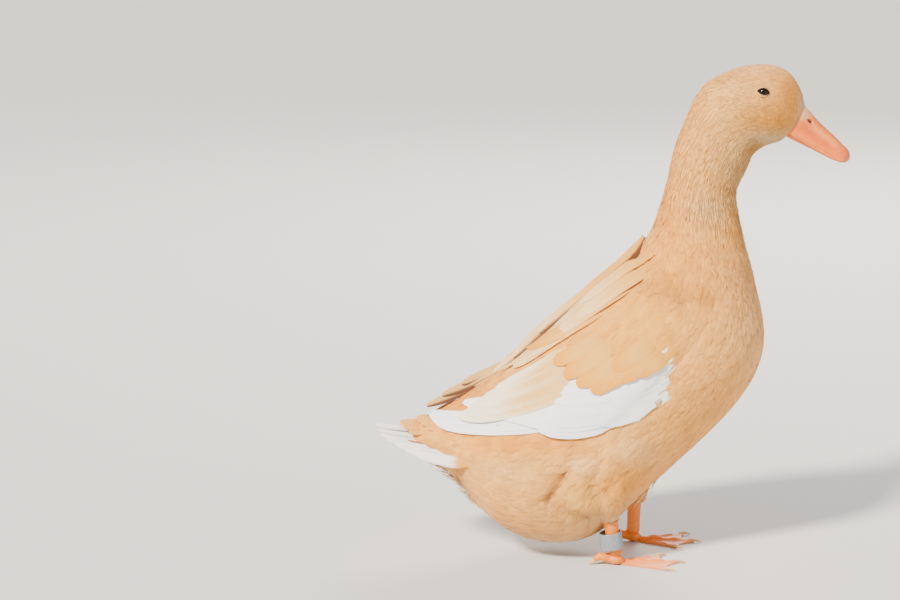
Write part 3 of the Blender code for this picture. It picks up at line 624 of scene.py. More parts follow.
# Tufts by section: spacing, length, half width, rise of the tip
COAT_SIZES = Spline(
    (
        (3.2, 15.0, 3.0, 1.0),
        (3.7, 20.0, 3.8, 1.2),
        (4.0, 23.0, 4.3, 1.3),
        (4.0, 24.0, 4.5, 1.15),
        (4.0, 25.0, 4.6, 1.15),
        (4.0, 25.0, 4.6, 1.15),
        (4.0, 25.0, 4.6, 1.15),
        (4.0, 24.0, 4.5, 1.15),
        (4.0, 23.0, 4.4, 1.15),
        (3.8, 22.0, 4.0, 1.15),
        (3.5, 20.0, 3.5, 1.15),
        (3.1, 17.5, 2.8, 1.15),
        (2.4, 14.5, 1.6, 1.1),
        (1.9, 12.5, 1.05, 0.95),
        (1.7, 11.0, 0.82, 0.85),
        (1.55, 10.0, 0.72, 0.78),
        (1.45, 9.4, 0.67, 0.74),
        (1.36, 8.6, 0.62, 0.68),
        (1.27, 7.6, 0.57, 0.62),
        (1.18, 6.6, 0.52, 0.55),
        (1.12, 5.7, 0.48, 0.5),
        (1.07, 5.0, 0.45, 0.46),
        (1.02, 4.4, 0.43, 0.42),
        (0.98, 3.8, 0.41, 0.38),
        (0.94, 3.2, 0.39, 0.34),
        (0.90, 2.6, 0.37, 0.30),
    )
)
STRAND_FROM = NECK_FROM
# How many roots are tried for each that fits
SOWN_SHARE = 3.2


def sow(surface, spacing, allowed, seed):
    """Roots scattered evenly over a surface: their places and triangles."""
    rng = np.random.default_rng(seed)
    corners = surface.points[surface.triangles]
    long, wide = corners[:, 1] - corners[:, 0], corners[:, 2] - corners[:, 0]
    area = np.linalg.norm(np.cross(long, wide), axis=-1) / 2
    weight = np.where(allowed, area / spacing**2, 0.0)
    tries = int(SOWN_SHARE * weight.sum())
    triangle = rng.choice(len(weight), tries, p=weight / weight.sum())
    a, b = rng.random(tries), rng.random(tries)
    a, b = np.where(a + b > 1, 1 - a, a), np.where(a + b > 1, 1 - b, b)
    place = corners[triangle, 0] + long[triangle] * a[:, None] + wide[triangle] * b[:, None]
    apart = spacing[triangle]
    keys = np.floor(place / float(apart.max())).astype(int).tolist()
    steps = [(i, j, k) for i in (-1, 0, 1) for j in (-1, 0, 1) for k in (-1, 0, 1)]
    grid = {}
    kept = []
    for number, (spot, radius, (x, y, z)) in enumerate(zip(place.tolist(), apart.tolist(), keys)):
        limit = radius * radius
        crowded = any(
            (spot[0] - other[0]) ** 2 + (spot[1] - other[1]) ** 2 + (spot[2] - other[2]) ** 2 < limit
            for i, j, k in steps
            for other in grid.get((x + i, y + j, z + k), ())
        )
        if not crowded:
            grid.setdefault((x, y, z), []).append(spot)
            kept.append(number)
    return place[kept], triangle[kept]


def tuft_template(rings, columns, pointed):
    """The triangles of one tuft: rings of columns and a keel, or strands that end in a point."""
    per_ring = columns if pointed else columns + 1
    faces = [fan(0, np.arange(1, per_ring))[:-1, ::-1]]
    whole = rings - 1 if pointed else rings
    faces.append(grid_faces(whole, per_ring, True))
    start = (whole - 1) * per_ring
    if pointed:
        faces.append(fan(start + per_ring, np.arange(start, start + per_ring)))
    else:
        keel = start + columns
        faces.append(fan(keel, np.arange(start, start + columns))[:-1])
    count = whole * per_ring + (1 if pointed else 0)
    return np.concatenate(faces), count


# The two builds of small feathers: stations along them, share of the width at each, columns
# across, and how far they are domed
STRAND_RINGS = (0.0, 0.35, 0.72, 1.0)
STRAND_WIDTHS = (0.75, 1.0, 0.72, 0.0)
STRAND_COLUMNS = 3
STRAND_DOME = 0.42
VANE_RINGS = (0.0, 0.3, 0.58, 0.82, 1.0)
VANE_WIDTHS = (0.45, 0.9, 1.0, 0.84, 0.42)
VANE_COLUMNS = 5
VANE_DOME = 0.16
# How uneven a vane's end is, how far its corners fall back, and the keel's depth under it
VANE_FRAY = 0.13
VANE_CORNERS = 0.10
KEEL_DEPTH = (0.10, 0.15)
VANE_CREASE = 62
# How far tufts turn aside and roll, how their rise grows along them, how much lengths and rises
# vary, and how deep their roots are sunk
TUFT_SWEEP = 0.08
TUFT_ROLL = 0.05
TUFT_RISE = 0.8
TUFT_LENGTHS = (0.85, 1.15)
TUFT_RISES = (0.88, 1.12)
TUFT_ROOT = -0.5
# Size of a tuft's patch in the map, and the map's free edge
PATCH = 0.003
MAP_EDGE = 0.001


class Tufts:
    """Many small feathers of one build, gathered for a mesh."""

    def __init__(self):
        self.points = []
        self.faces = []
        self.colour = []
        self.vane = []
        self.uv = []
        self.count = 0

    def add(self, points, template, colour, vane, uv):
        number, per = points.shape[:2]
        starts = self.count + np.arange(number) * per
        self.faces.append((template[None] + starts[:, None, None]).reshape(-1, 3))
        self.points.append(points.reshape(-1, 3))
        self.colour.append(colour.reshape(-1, 3))
        self.vane.append(vane.reshape(-1, 3))
        self.uv.append(uv.reshape(-1, 2))
        self.count += number * per

    def piece(self, name, finish):
        points, faces = np.concatenate(self.points), np.concatenate(self.faces)
        looks = (np.concatenate(rows) for rows in (self.colour, self.vane, self.uv))
        return make_piece(name, points, faces, finish, "plumage", *looks, sharp=VANE_CREASE)


def lay_tufts(surface, root, ahead, s, turn, sizes, seed, pointed, sweep):
    """Small feathers from their roots, along the lie, over the surface. sizes are length,
    half width, height of the root and height of the tip, each for every feather."""
    rng = np.random.default_rng(seed)
    count = len(root)
    length, half, low, high = (np.asarray(size, float)[:, None] for size in sizes)
    along = np.array(STRAND_RINGS if pointed else VANE_RINGS)
    width = np.array(STRAND_WIDTHS if pointed else VANE_WIDTHS)
    columns = STRAND_COLUMNS if pointed else VANE_COLUMNS
    start, normal = surface.settle(root)
    ahead = unit(ahead - normal * (ahead * normal).sum(-1, keepdims=True))
    side = unit(np.cross(normal, ahead))
    bend = rng.normal(0.0, sweep, count)[:, None]
    turned = unit(ahead + side * rng.normal(0.0, sweep, count)[:, None])
    line = start[:, None] + turned[:, None] * (length * along)[..., None]
    line = line + side[:, None] * (length * bend * along**2)[..., None]
    line, normals = surface.settle(line)
    forward = unit(np.gradient(line, axis=1))
    across = unit(np.cross(normals, forward))
    rise = low + (high - low) * along**TUFT_RISE
    roll = rng.normal(0.0, TUFT_ROLL, count)[:, None]
    c = np.linspace(-1.0, 1.0, columns)
    reach = half * width
    dome = (STRAND_DOME if pointed else VANE_DOME) * half[..., None] * (1.0 - c**2)
    dome = dome * np.maximum(width, 0.3)[:, None]
    lift = rise[..., None] + dome + (roll * reach)[..., None] * c
    shift = np.zeros((count, len(along), columns))
    if not pointed:
        wild = rng.uniform(-1.0, 1.0, (count, columns)) + np.where(np.arange(columns) % 2, 0.6, -0.6)
        shift[:, -1] = VANE_FRAY * wild - VANE_CORNERS * np.abs(c) ** 2
        shift[:, -2] = 0.25 * VANE_FRAY * wild
        shift *= length[..., None]
    points = line[:, :, None] + across[:, :, None] * (reach[..., None] * c)[..., None]
    points = points + normals[:, :, None] * lift[..., None] + forward[:, :, None] * shift[..., None]
    place = np.zeros(points.shape)
    place[..., 0] = along[None, :, None]
    place[..., 1] = c
    place[..., 2] = rng.random(count)[:, None, None]
    template, per = tuft_template(len(along), columns, pointed)
    rings = coat_colour(line)
    if pointed:
        tip = points[:, -1].mean(1)[:, None]
        points = np.concatenate((points[:, :-1].reshape(count, -1, 3), tip), 1)
        place = np.concatenate((place[:, :-1].reshape(count, -1, 3), place[:, -1, 1][:, None]), 1)
        colour = np.concatenate((np.repeat(rings[:, :-1], columns, 1), rings[:, -1:]), 1)
    else:
        keel = line + normals * (rise - KEEL_DEPTH[0] * reach - KEEL_DEPTH[1])[..., None]
        keel_place = place[:, :, columns // 2]
        points = np.concatenate((points, keel[:, :, None]), 2).reshape(count, per, 3)
        place = np.concatenate((place, keel_place[:, :, None]), 2).reshape(count, per, 3)
        colour = np.repeat(rings, columns + 1, 1)
    uv = np.stack((turn / 2.0, s / BODY_END), -1)[:, None] + place[..., [1, 0]] * (PATCH / 2, -PATCH)
    return points, template, colour, place, np.clip(uv, MAP_EDGE, 1.0 - MAP_EDGE)


# Triangles of one tuft, and about the most that a piece of the coat has
STRAND_FACES = 16
VANE_FACES = 56
PIECE_LIMIT = 190000
# The eye in the side view, the sections it is looked for in, its radius, how deep its middle
# lies, and the slope of its long axis
EYE_AT = (139.8, 447.6)
EYE_SECTIONS = (18.0, 23.0)
EYE_RADIUS = 6.2
EYE_DEPTH = 3.7
EYE_SLOPE = math.radians(-13.0)
# The lids: half length and half height of the opening and of the outer edge, rim, fold
LID_OPENING = (4.8, 3.3)
LID_OUTER = (6.9, 5.3)
LID_RIM = 0.55
LID_FOLD = 0.25
# How far the feathers reach over the lids, and how deep these end under them
LID_COVERED = 1.6
# The section at which the feathers end and the bill begins
BILL_LINE_FROM = 24.4

# Where the wing's long feathers lie, in the side view, so that no small ones grow under them
WING_FIELD = (
    (-18.0, 230.0),
    (-6.0, 222.0),
    (8.0, 216.0),
    (24.0, 203.0),
    (26.0, 180.0),
    (14.0, 160.0),
    (2.0, 148.0),
    (-12.0, 140.0),
    (-36.0, 134.5),
    (-60.0, 137.0),
    (-70.0, 140.0),
    (-110.0, 138.0),
    (-150.0, 138.0),
    (-150.0, 148.0),
    (-128.0, 156.0),
    (-100.0, 176.0),
    (-60.0, 204.0),
)
# The white of the wing where small feathers carry it, in the side view
WHITE_FIELD = (
    (-60.0, 186.0),
    (-20.0, 176.0),
    (2.0, 178.0),
    (14.0, 191.0),
    (22.0, 192.0),
    (32.0, 197.0),
    (40.0, 202.0),
    (52.0, 203.0),
    (49.0, 186.0),
    (50.0, 170.0),
    (45.0, 161.0),
    (34.0, 156.0),
    (20.0, 151.0),
    (4.0, 147.0),
    (-10.0, 147.0),
)


def inside(outline, x, z):
    """Whether each point lies within a closed outline of the side view."""
    found = np.zeros(np.shape(x), bool)
    for (x0, z0), (x1, z1) in zip(outline, outline[1:] + outline[:1]):
        crosses = (z0 > z) != (z1 > z)
        found ^= crosses & (x < (x1 - x0) * (z - z0) / (z1 - z0 + 1e-12) + x0)
    return found


def eye_frame(side):
    """An eye's place on the head, and its outward, forward and upward directions."""
    s, turn = find_on_body(*EYE_AT, *EYE_SECTIONS)
    surface = body_point(s, turn)
    out = body_axes(s, turn)[1]
    flip = np.array((1.0, side, 1.0))
    surface, out = surface * flip, out * flip
    ahead = np.array((math.cos(EYE_SLOPE), 0.0, math.sin(EYE_SLOPE)))
    ahead = unit(ahead - out * (ahead * out).sum())
    return surface, out, ahead, np.cross(ahead, out) * side


def near_eye(places):
    """Whether each place lies within the lids of either eye."""
    found = np.zeros(places.shape[:-1], bool)
    for side in SIDES.values():
        surface, _, ahead, up = eye_frame(side)
        across = places - surface
        x = (across * ahead).sum(-1) / (LID_OUTER[0] - LID_COVERED)
        z = (across * up).sum(-1) / (LID_OUTER[1] - LID_COVERED)
        found |= (x * x + z * z < 1.0) & (places[..., 1] * side > 0)
    return found


# The lie of the thigh's lobe, how strongly it draws the feathers, and how near
LOBE_LIE = (-0.5, 0.0, -0.87)
LOBE_PULL = 0.85
LOBE_REACH = (0.5, 1.3)
THIGH_REACH = (1.1, 1.9)
# The shoulder in the side view, its size, its rim, and how far out it begins
SHOULDER_AT = (2.0, 236.0)
SHOULDER_SIZE = (74.0, 46.0)
SHOULDER_RIM = (0.7, 1.15)
SHOULDER_OUT = (34.0, 46.0)
# How spacing, length, half width and rise of the tufts grow on the shoulder and the lower thigh
SCAPULAR_GROWTH = (1.25, 1.5, 1.7, 1.0)
THIGH_GROWTH = (0.7, 0.8, 0.55, 0.45)
# Where the lower thigh is: its x, the z over which it ends, and how far out it begins
LOW_THIGH = (-22.0, 44.0)
LOW_THIGH_TOP = (44.0, 84.0)
LOW_THIGH_OUT = 26.0
# The shoulder's tone and strength, how ragged the white's edge is, its tone, how far out it begins
FIELD_COLOUR = pigment(226, 172, 120)
FIELD_SHARE = 0.6
FIELD_SCATTER = 2.4
COAT_WHITE = linear(252, 246, 232)
WING_OUT = 30.0
# How much darker the skin under the coat is painted: painted shade deep among the feathers' roots
SKIN_SHADE = 0.9
# Bare room over and round the top of each leg, and how far vanes and down run in among strands
LEG_ROOM = (1.0, 1.5)
VANES_BEYOND = 0.9
DOWN_BEYOND = 0.6
# How far single feathers and strands stray from their tone, and by how much in each channel
OWN_SPREAD = (0.10, 0.34)
OWN_TINT = (0.7, 1.0, 1.4)
OWN_BRIGHTER = 0.7
BRIGHTEST = 0.95
# Some strands stand up, and down is shorter and lies higher than the vanes around it
LIFTED_SHARE = 0.1
LIFTED_RISE = 2.0
DOWN_SIZE = (0.8, 1.08)
DOWN_HALF = 0.5
DOWN_CLOSER = 0.56
# Loose tips under the vent and the breast: lowest and highest x, and highest z, near the middle
WISP_FIELDS = ((-162.0, -118.0, 92.0), (28.0, 50.0, 84.0))
WISP_REACH = 18.0
WISP_TONE = pigment(246, 222, 184)
WISP_SHARE = 0.8
WISP_CLOSER = 0.8
WISP_LONGER = 1.05
WISP_HALF = 1.0
WISP_RISE = (2.5, 9.0)
WISP_SWEEP = 0.3


def lie_of_coat(base, s, turn):
    """The way the feathers point at each point of the skin."""
    lie = -body_axes(s, turn)[0]
    x, y, z = base.points.T
    (lobe_x, lobe_z), (long, high), _, _ = THIGH_BULGE
    far = np.hypot((x - lobe_x) / long, (z - lobe_z) / high)
    weight = LOBE_PULL * fading(*LOBE_REACH, far) * smooth_step(*FLANK_OUT, np.abs(y))
    lie = mixed(lie, LOBE_LIE, weight[:, None])
    for word in SIDES:
        line, radii = thigh_line(word)
        far = np.linalg.norm(base.points[:, None] - line[None], axis=-1)
        near = far.argmin(1)
        closeness = far[np.arange(len(near)), near] / radii[near]
        down = -unit(np.gradient(line, axis=0))[near]
        lie = mixed(lie, down, fading(*THIGH_REACH, closeness)[:, None])
    normal = base.normals
    return unit(lie - normal * (lie * normal).sum(-1, keepdims=True))


def wing_area(points):
    """How far each point belongs to the shoulder and scapular field, from 0 to 1."""
    x, y, z = points[..., 0], np.abs(points[..., 1]), points[..., 2]
    far = ((x - SHOULDER_AT[0]) / SHOULDER_SIZE[0]) ** 2 + ((z - SHOULDER_AT[1]) / SHOULDER_SIZE[1]) ** 2
    return fading(*SHOULDER_RIM, far) * smooth_step(*SHOULDER_OUT, y)


def mark_wing(colour, tips, weight, rng):
    """Small feathers take the wing's white where their tips lie in it, and its buff above."""
    colour = mixed(colour, FIELD_COLOUR, (weight * FIELD_SHARE)[:, None, None])
    places = tips + rng.normal(0.0, FIELD_SCATTER, tips.shape)
    white = inside(WHITE_FIELD, places[:, 0], places[:, 2]) & (np.abs(tips[:, 1]) > WING_OUT)
    return np.where(white[:, None, None], COAT_WHITE, colour)


def coat_fields(base, s):
    """The tufts' sizes on each triangle of the skin, and where each build of them grows."""
    x, y, z = base.points[base.triangles].mean(1).T
    out = np.abs(y)
    wing = wing_area(np.stack((x, y, z), -1))
    sizes = COAT_SIZES(s) * (1.0 + (np.array(SCAPULAR_GROWTH) - 1.0) * wing[:, None])
    low_thigh = fading(*LOW_THIGH_TOP, z) * (x > LOW_THIGH[0]) * (x < LOW_THIGH[1]) * (out > LOW_THIGH_OUT)
    sizes = sizes * (1.0 - (1.0 - np.array(THIGH_GROWTH)) * low_thigh[:, None])
    legs = np.zeros(len(x), bool)
    for word, side in SIDES.items():
        leg_x, leg_y, leg_z, reach = THIGHS[word][0]
        near_leg = np.hypot(x - leg_x, y - leg_y * side) < reach + LEG_ROOM[1]
        legs |= (z < leg_z + LEG_ROOM[0]) & near_leg
    hidden = inside(WING_FIELD, x, z) & (out > WING_OUT)
    open_skin = ~legs & ~hidden & (s < BILL_LINE_FROM)
    loose = np.zeros(len(x), bool)
    for low, high, top in WISP_FIELDS:
        loose |= (x > low) & (x < high) & (z < top) & (out < WISP_REACH)
    return sizes, (
        ("vanes", open_skin & (s < STRAND_FROM + VANES_BEYOND), False, 1.0, 11),
        ("strands", open_skin & (s > STRAND_FROM), True, 1.0, 12),
        ("down", open_skin & (s < STRAND_FROM + DOWN_BEYOND), True, DOWN_CLOSER, 13),
        ("wisps", open_skin & loose, True, WISP_CLOSER, 14),
    )


def build_coat(base, finish):
    """The small feathers of the body, neck and head, in pieces from the tail to the bill."""
    s, turn = body_places(base.points)
    lie = lie_of_coat(base, s, turn)
    first = base.triangles[:, 0]
    sizes, builds = coat_fields(base, s[first])
    for name, allowed, pointed, closer, seed in builds:
        root, triangle = sow(base, sizes[:, 0] * closer, allowed, seed)
        at = first[triangle]
        length, half, high = sizes[triangle, 1], sizes[triangle, 2], sizes[triangle, 3]
        rng = np.random.default_rng(seed + 100)
        length = length * rng.uniform(*TUFT_LENGTHS, len(root))
        if name == "down":
            length, high = length * DOWN_SIZE[0], high * DOWN_SIZE[1]
            half = np.full(len(root), DOWN_HALF)
        if name == "wisps":
            length, half = length * WISP_LONGER, np.full(len(root), WISP_HALF)
            high = rng.uniform(*WISP_RISE, len(root))
        if name == "strands":
            high = np.where(rng.random(len(root)) < LIFTED_SHARE, high * LIFTED_RISE, high)
        ends = root + lie[at] * length[:, None]
        order = np.flatnonzero(~near_eye(root) & ~near_eye(ends) & ~near_eye((root + ends) / 2))
        order = order[np.argsort(s[at[order]], kind="stable")]
        share = max(1, math.ceil(len(order) * (STRAND_FACES if pointed else VANE_FACES) / PIECE_LIMIT))
        spread = OWN_SPREAD[1] if pointed else OWN_SPREAD[0]
        sweep = WISP_SWEEP if name == "wisps" else TUFT_SWEEP
        for k, group in enumerate(np.array_split(order, share)):
            low = np.full(len(group), TUFT_ROOT)
            rise = high[group] * rng.uniform(*TUFT_RISES, len(group))
            here = (length[group], half[group], low, rise)
            spot = at[group]
            laid = (root[group], lie[spot], s[spot], turn[spot], here, seed * 10 + k, pointed, sweep)
            points, template, colour, vane, uv = lay_tufts(base, *laid)
            colour = mark_wing(colour, ends[group], wing_area(root[group]), rng)
            if name == "wisps":
                colour = mixed(colour, WISP_TONE, WISP_SHARE)
            own = rng.uniform(1.0 - spread, 1.0 + spread * OWN_BRIGHTER, len(group))
            colour = np.minimum(colour * own[:, None, None] ** OWN_TINT, BRIGHTEST)
            tufts = Tufts()
            tufts.add(points, template, colour, vane, uv)
            tufts.piece(f"coat_{name}_{k + 1}", finish)


def build_skin(base, finish):
    # Painted shade: the skin under the coat is darker than the coat
    colour = coat_colour(base.points) * SKIN_SHADE
    skin = make_piece("skin", base.points, base.triangles, finish, "plumage", colour)
    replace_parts(skin, "torso", "neck", "head", "thigh_left", "thigh_right")


# Long feathers. A recipe gives the colour of the base, of the tip, of the middle, where the tip's
# colour begins and ends, and how strong the middle is
WHITE = linear(252, 252, 250)
RECIPES = {
    "white": (linear(252, 249, 242), WHITE, linear(246, 242, 232), 0.2, 0.6, 0.1),
    "cream": (pigment(246, 216, 174), linear(253, 240, 208), pigment(236, 190, 140), 0.40, 0.85, 0.85),
    "buff": (pigment(232, 184, 134), pigment(232, 174, 118), pigment(240, 198, 150), 0.45, 0.95, 0.5),
    "tan": (pigment(220, 184, 144), pigment(206, 172, 132), pigment(226, 192, 152), 0.4, 0.9, 0.6),
    "pale_buff": (pigment(232, 182, 134), pigment(250, 220, 182), pigment(240, 196, 150), 0.4, 0.95, 0.5),
    "tail": (pigment(228, 172, 122), linear(252, 248, 240), pigment(228, 172, 122), 0.34, 0.52, 0.0),
    "tail_outer": (pigment(228, 172, 122), linear(252, 246, 234), pigment(228, 172, 122), 0.3, 0.5, 0.0),
    "tail_covert": (pigment(228, 174, 124), pigment(232, 184, 138), pigment(226, 170, 118), 0.4, 0.9, 0.3),
}

# Tiers of a wing in the side view: primaries, secondaries, tertials, then the coverts of the edge,
# the greater and the middle ones. Each row has the number, first and last root, first and last tip,
# first and last half width, how far the blade lies off the skin, least height above the body at
# the tip, bow, how closely it hugs the skin, recipe
WING_TIERS = (
    (8, (-40, 160), (-36, 146), (-176, 138), (-162, 131.5), (6.2, 5.6), 1.0, 2.4, 0.02, 0.3, "white"),
    (10, (-4, 196), (6, 152), (-138, 152), (-68, 144), (8.5, 7.5), 1.6, 3.8, 0.05, 0.5, "white"),
    (5, (-6, 230), (14, 206), (-108, 166), (-142, 141), (10.0, 11.0), 2.6, 5.0, 0.04, 1.0, "cream"),
    (2, (22, 168), (14, 158), (-62, 146), (-67, 140.5), (8.0, 8.0), 2.0, 4.4, 0.10, 0.3, "white"),
    (8, (44, 208), (26, 166), (-50, 180), (-58, 148), (9.5, 9.0), 2.3, 5.0, 0.04, 0.7, "white"),
    (6, (56, 206), (40, 166), (6, 184), (-12, 149), (8.5, 8.5), 2.4, 5.0, 0.04, 1.0, "white"),
)
# Single feathers of the lower border of the buff field: root, tip, half width
BORDER_FEATHERS = (
    ((-17, 236), (-75, 202), 9.5),
    ((3, 229), (-50, 195), 9.0),
    ((11, 223), (-41, 186), 9.5),
    ((24, 214), (-30, 180), 8.5),
    ((30, 209), (-17, 175.5), 8.5),
    ((38, 214), (-6, 181), 8.0),
    ((45, 230), (3, 196), 9.0),
    ((50, 222), (10, 187), 8.0),
    ((56, 215), (24, 193), 7.0),
)
# Feathers along the back beside the hollow: section and turn of root and tip, half width
BACK_FEATHERS = (
    ((6.0, 0.20), (3.5, 0.145), 8.5),
    ((6.9, 0.22), (4.0, 0.155), 9.0),
    ((7.8, 0.22), (4.8, 0.16), 9.0),
    ((8.5, 0.22), (5.5, 0.17), 8.5),
)
UPPER_BACK_FEATHERS = (
    ((6.3, 0.155), (3.0, 0.088), 8.5),
    ((7.2, 0.16), (3.7, 0.092), 8.5),
    ((8.0, 0.16), (4.6, 0.10), 8.5),
    ((8.8, 0.165), (5.6, 0.125), 8.0),
)
# How high they rest over the skin and at the tip, and the step from first to last
BACK_REST = (3.2, 5.0)
BACK_SLOPE = 1.5
# The left wing is held higher, so its inner side shows over the back: rows as above, the ridge's
# rise over the body by section, and how far the vanes lean towards the middle
RIDGE_FEATHERS = (
    ((5.4, 0.055), (2.75, 0.055), 8.0),
    ((6.3, 0.055), (3.35, 0.055), 9.5),
    ((7.4, 0.055), (4.1, 0.055), 9.5),
    ((8.6, 0.06), (5.1, 0.06), 9.0),
)
RIDGE_RISE = (
    *((2.5, 0.0), (3.0, 0.3), (3.5, 1.2), (4.0, 3.6), (4.5, 4.4)),
    *((5.0, 3.6), (5.5, 1.8), (6.5, 0.8), (9.0, -1.0)),
)
RIDGE_STEP = 1.2
RIDGE_LEAN = 0.75
# The outer side of that ridge, which falls to the flank
SLOPE_FEATHERS = (
    ((5.4, 0.13), (2.9, 0.115), 9.0),
    ((6.6, 0.135), (3.5, 0.12), 11.0),
    ((7.8, 0.14), (4.3, 0.125), 11.0),
    ((8.6, 0.145), (5.2, 0.13), 10.0),
)
SLOPE_RISE = 4.2
SLOPE_LEAN = -0.3
# Tips of the left wing that stand off the rump: root, tip, sag, half width
FAR_FEATHERS = (
    ((-60, 12, 202), (-178, 13, 142), 4.0, 5.0),
    ((-56, 13, 207), (-163, 14, 152), 4.0, 5.4),
    ((-50, 14, 213), (-144, 15, 163), 4.0, 5.8),
)
FAR_LEAN = 1.6
# The painted shade on the side of these feathers that faces the hollow: how dark it is in each channel, how
# far across the vane it sets in, and how near the middle a feather has to lie
HOLLOW_SHADE = (0.84, 0.9, 0.93)
HOLLOW_FROM = (0.0, 0.45)
HOLLOW_REACH = 17.0
# The border's feathers: rest over the skin and at the tip, step, bow and uneven edge
BORDER_REST = (4.3, 7.4)
BORDER_SLOPE = 0.9
BORDER_BOW = 0.03
BORDER_FRAY = 0.14
# Every second feather of a tier lies a little higher
TIER_STEP = (0.12, -0.12)
# Long feathers: points along and across, then thickness, camber, shaft, roll and uneven edge
QUILL_STATIONS = 18
QUILL_COLUMNS = 9
QUILL_THICK = 0.3
QUILL_CAMBER = 0.05
QUILL_SHAFT = 0.22
QUILL_ROLL = 0.03
QUILL_FRAY = 0.05
# Its outline: width at the base and the tip, where its round end begins and how long that is
QUILL_BASE = 0.45
QUILL_TIP = 0.16
QUILL_END = (0.76, 0.25)
# How strongly the rim is darkened by painted shade and the shaft darkened, and how deep a root is sunk
RIM_SHADE = 0.07
SHAFT_SHADE = 0.05
SUNK_ROOT = 1.8
# Height over the body from which the skin is looked for, and the height where there is none
RAY_FROM = 40.0
NO_SKIN = -4.0
# Cells of the long feathers in the map: number in a row, margin, size
ATLAS = 12
CELL_EDGE = 0.04
CELL_HALF = 0.44
CELL_LONG = 0.92


def quill_width(a):
    """The outline of a long feather: its share of the full half width along it."""
    body = QUILL_BASE + (1.0 - QUILL_BASE) * smooth_step(0.0, 0.4, a)
    end = np.sqrt(np.clip(1.0 - ((a - QUILL_END[0]) / QUILL_END[1]) ** 2, 0.0, 1.0))
    return body * np.where(a > QUILL_END[0], np.maximum(end, QUILL_TIP), 1.0)


def quill_stations():
    even = np.linspace(0.0, 1.0, QUILL_STATIONS)
    return 1.0 - (1.0 - even) ** 1.5


def quill_colour(place, recipe):
    """The tone over a long feather: root, tip and middle, with painted shade along the rim and a darker
    shaft.
    """
    root, tip, middle, start, end, strength = RECIPES[recipe]
    along, across, own = place[..., :1], place[..., 1:2], place[..., 2:3]
    share = smooth_step(start, end, along + 0.05 * np.abs(across) + 0.06 * (own - 0.5))
    centre = strength * np.exp(-(((along - 0.6) / 0.22) ** 2) - ((across + 0.3) / 0.6) ** 2)
    colour = mixed(mixed(root, tip, share), middle, centre)
    # Painted shade along the rim, where the feathers overlap
    rim = RIM_SHADE * smooth_step(0.7, 1.0, np.abs(across))
    return colour * (1.0 - rim - SHAFT_SHADE * bell(np.abs(across) / 0.07))


def lay_quills(line, normals, half, recipe, seed, base=None, hug=0.0, fray=QUILL_FRAY):
    """Long feathers as thin closed blades with a raised shaft, each along its own line. They bend
    to the skin of the base by how far they hug it."""
    rng = np.random.default_rng(seed)
    count = len(line)
    a = quill_stations()
    c = np.linspace(-1.0, 1.0, QUILL_COLUMNS)
    forward = unit(np.gradient(line, axis=1))
    side = unit(np.cross(normals, forward))
    face = np.cross(forward, side)[:, :, None]
    rough = 1.0 - fray * rng.random((count, QUILL_STATIONS, 2)) * smooth_step(0.25, 0.6, a)[:, None]
    reach = half[:, None, None] * quill_width(a)[:, None] * np.where(c < 0, rough[..., :1], rough[..., 1:])
    shaft = QUILL_SHAFT * (1.0 - a)[:, None] * bell(c / 0.1)
    lift = reach * (QUILL_CAMBER * (1.0 - c**2) - QUILL_ROLL * c) + shaft
    flat = line[:, :, None] + side[:, :, None] * (reach * c)[..., None]
    if base is not None:
        under, _ = base.settle(line)
        high = ((line - under) * face[:, :, 0]).sum(-1)
        spot, normal = base.settle(flat)
        flat = flat + (spot + normal * high[:, :, None, None] - flat) * hug
        face = unit(face + (normal - face) * hug)
    top = flat + face * lift[..., None]
    low = top - face * (QUILL_THICK * (1.0 - 0.5 * np.abs(c)))[..., None]
    _, template = closed_sheet(top[0], low[0])
    place = np.zeros(top.shape)
    place[..., 0] = a[:, None]
    place[..., 1] = c
    place[..., 2] = rng.random(count)[:, None, None]
    colour = quill_colour(place, recipe)
    points = np.concatenate((top.reshape(count, -1, 3), low.reshape(count, -1, 3)), 1)
    colour = np.concatenate((colour.reshape(count, -1, 3),) * 2, 1)
    place = np.concatenate((place.reshape(count, -1, 3),) * 2, 1)
    return points, template, colour, place


def skin_height(base, s, turn):
    """How high the skin lies above the body's loft on the left flank."""
    start = on_body(s, turn, np.full(np.shape(s), RAY_FROM)).reshape(-1, 3)
    inward = -body_axes(s, turn)[1].reshape(-1, 3)
    found = []
    for place, direction in zip(start.tolist(), inward.tolist()):
        far = base.tree.ray_cast(Vector(place), Vector(direction), 1.5 * RAY_FROM)[3]
        found.append(NO_SKIN if far is None else RAY_FROM - far)
    return np.array(found).reshape(np.shape(s))


def side_lines(root, tip, bow):
    """The sections and turns along lines from roots to tips of the side view."""
    a = quill_stations()
    line = root[:, None] + (tip - root)[:, None] * a[:, None]
    across = unit((tip - root)[:, ::-1] * (1.0, -1.0))
    sag = np.linalg.norm(tip - root, axis=1)[:, None] * bow * 4.0 * a * (1.0 - a)
    line = line + across[:, None] * sag[..., None] * np.sign(-across[:, 1])[:, None, None]
    return find_on_body(line[..., 0], line[..., 1])


def flank_lines(base, s, turn, off_skin, least):
    """Lines over the left wing through sections and turns, and the normals along them. Each
    starts under the skin, rises off it and keeps clear of the body past the wing's flesh."""
    a = quill_stations()
    rise = -SUNK_ROOT + (off_skin[:, None] + SUNK_ROOT) * smooth_step(0.0, 0.38, a)
    high = np.maximum(skin_height(base, s, turn) + rise, least * smooth_step(0.35, 1.0, a))
    for _ in range(3):
        high[:, 1:-1] = (high[:, :-2] + 2.0 * high[:, 1:-1] + high[:, 2:]) / 4.0
    return on_body(s, turn, high), body_axes(s, turn)[1]


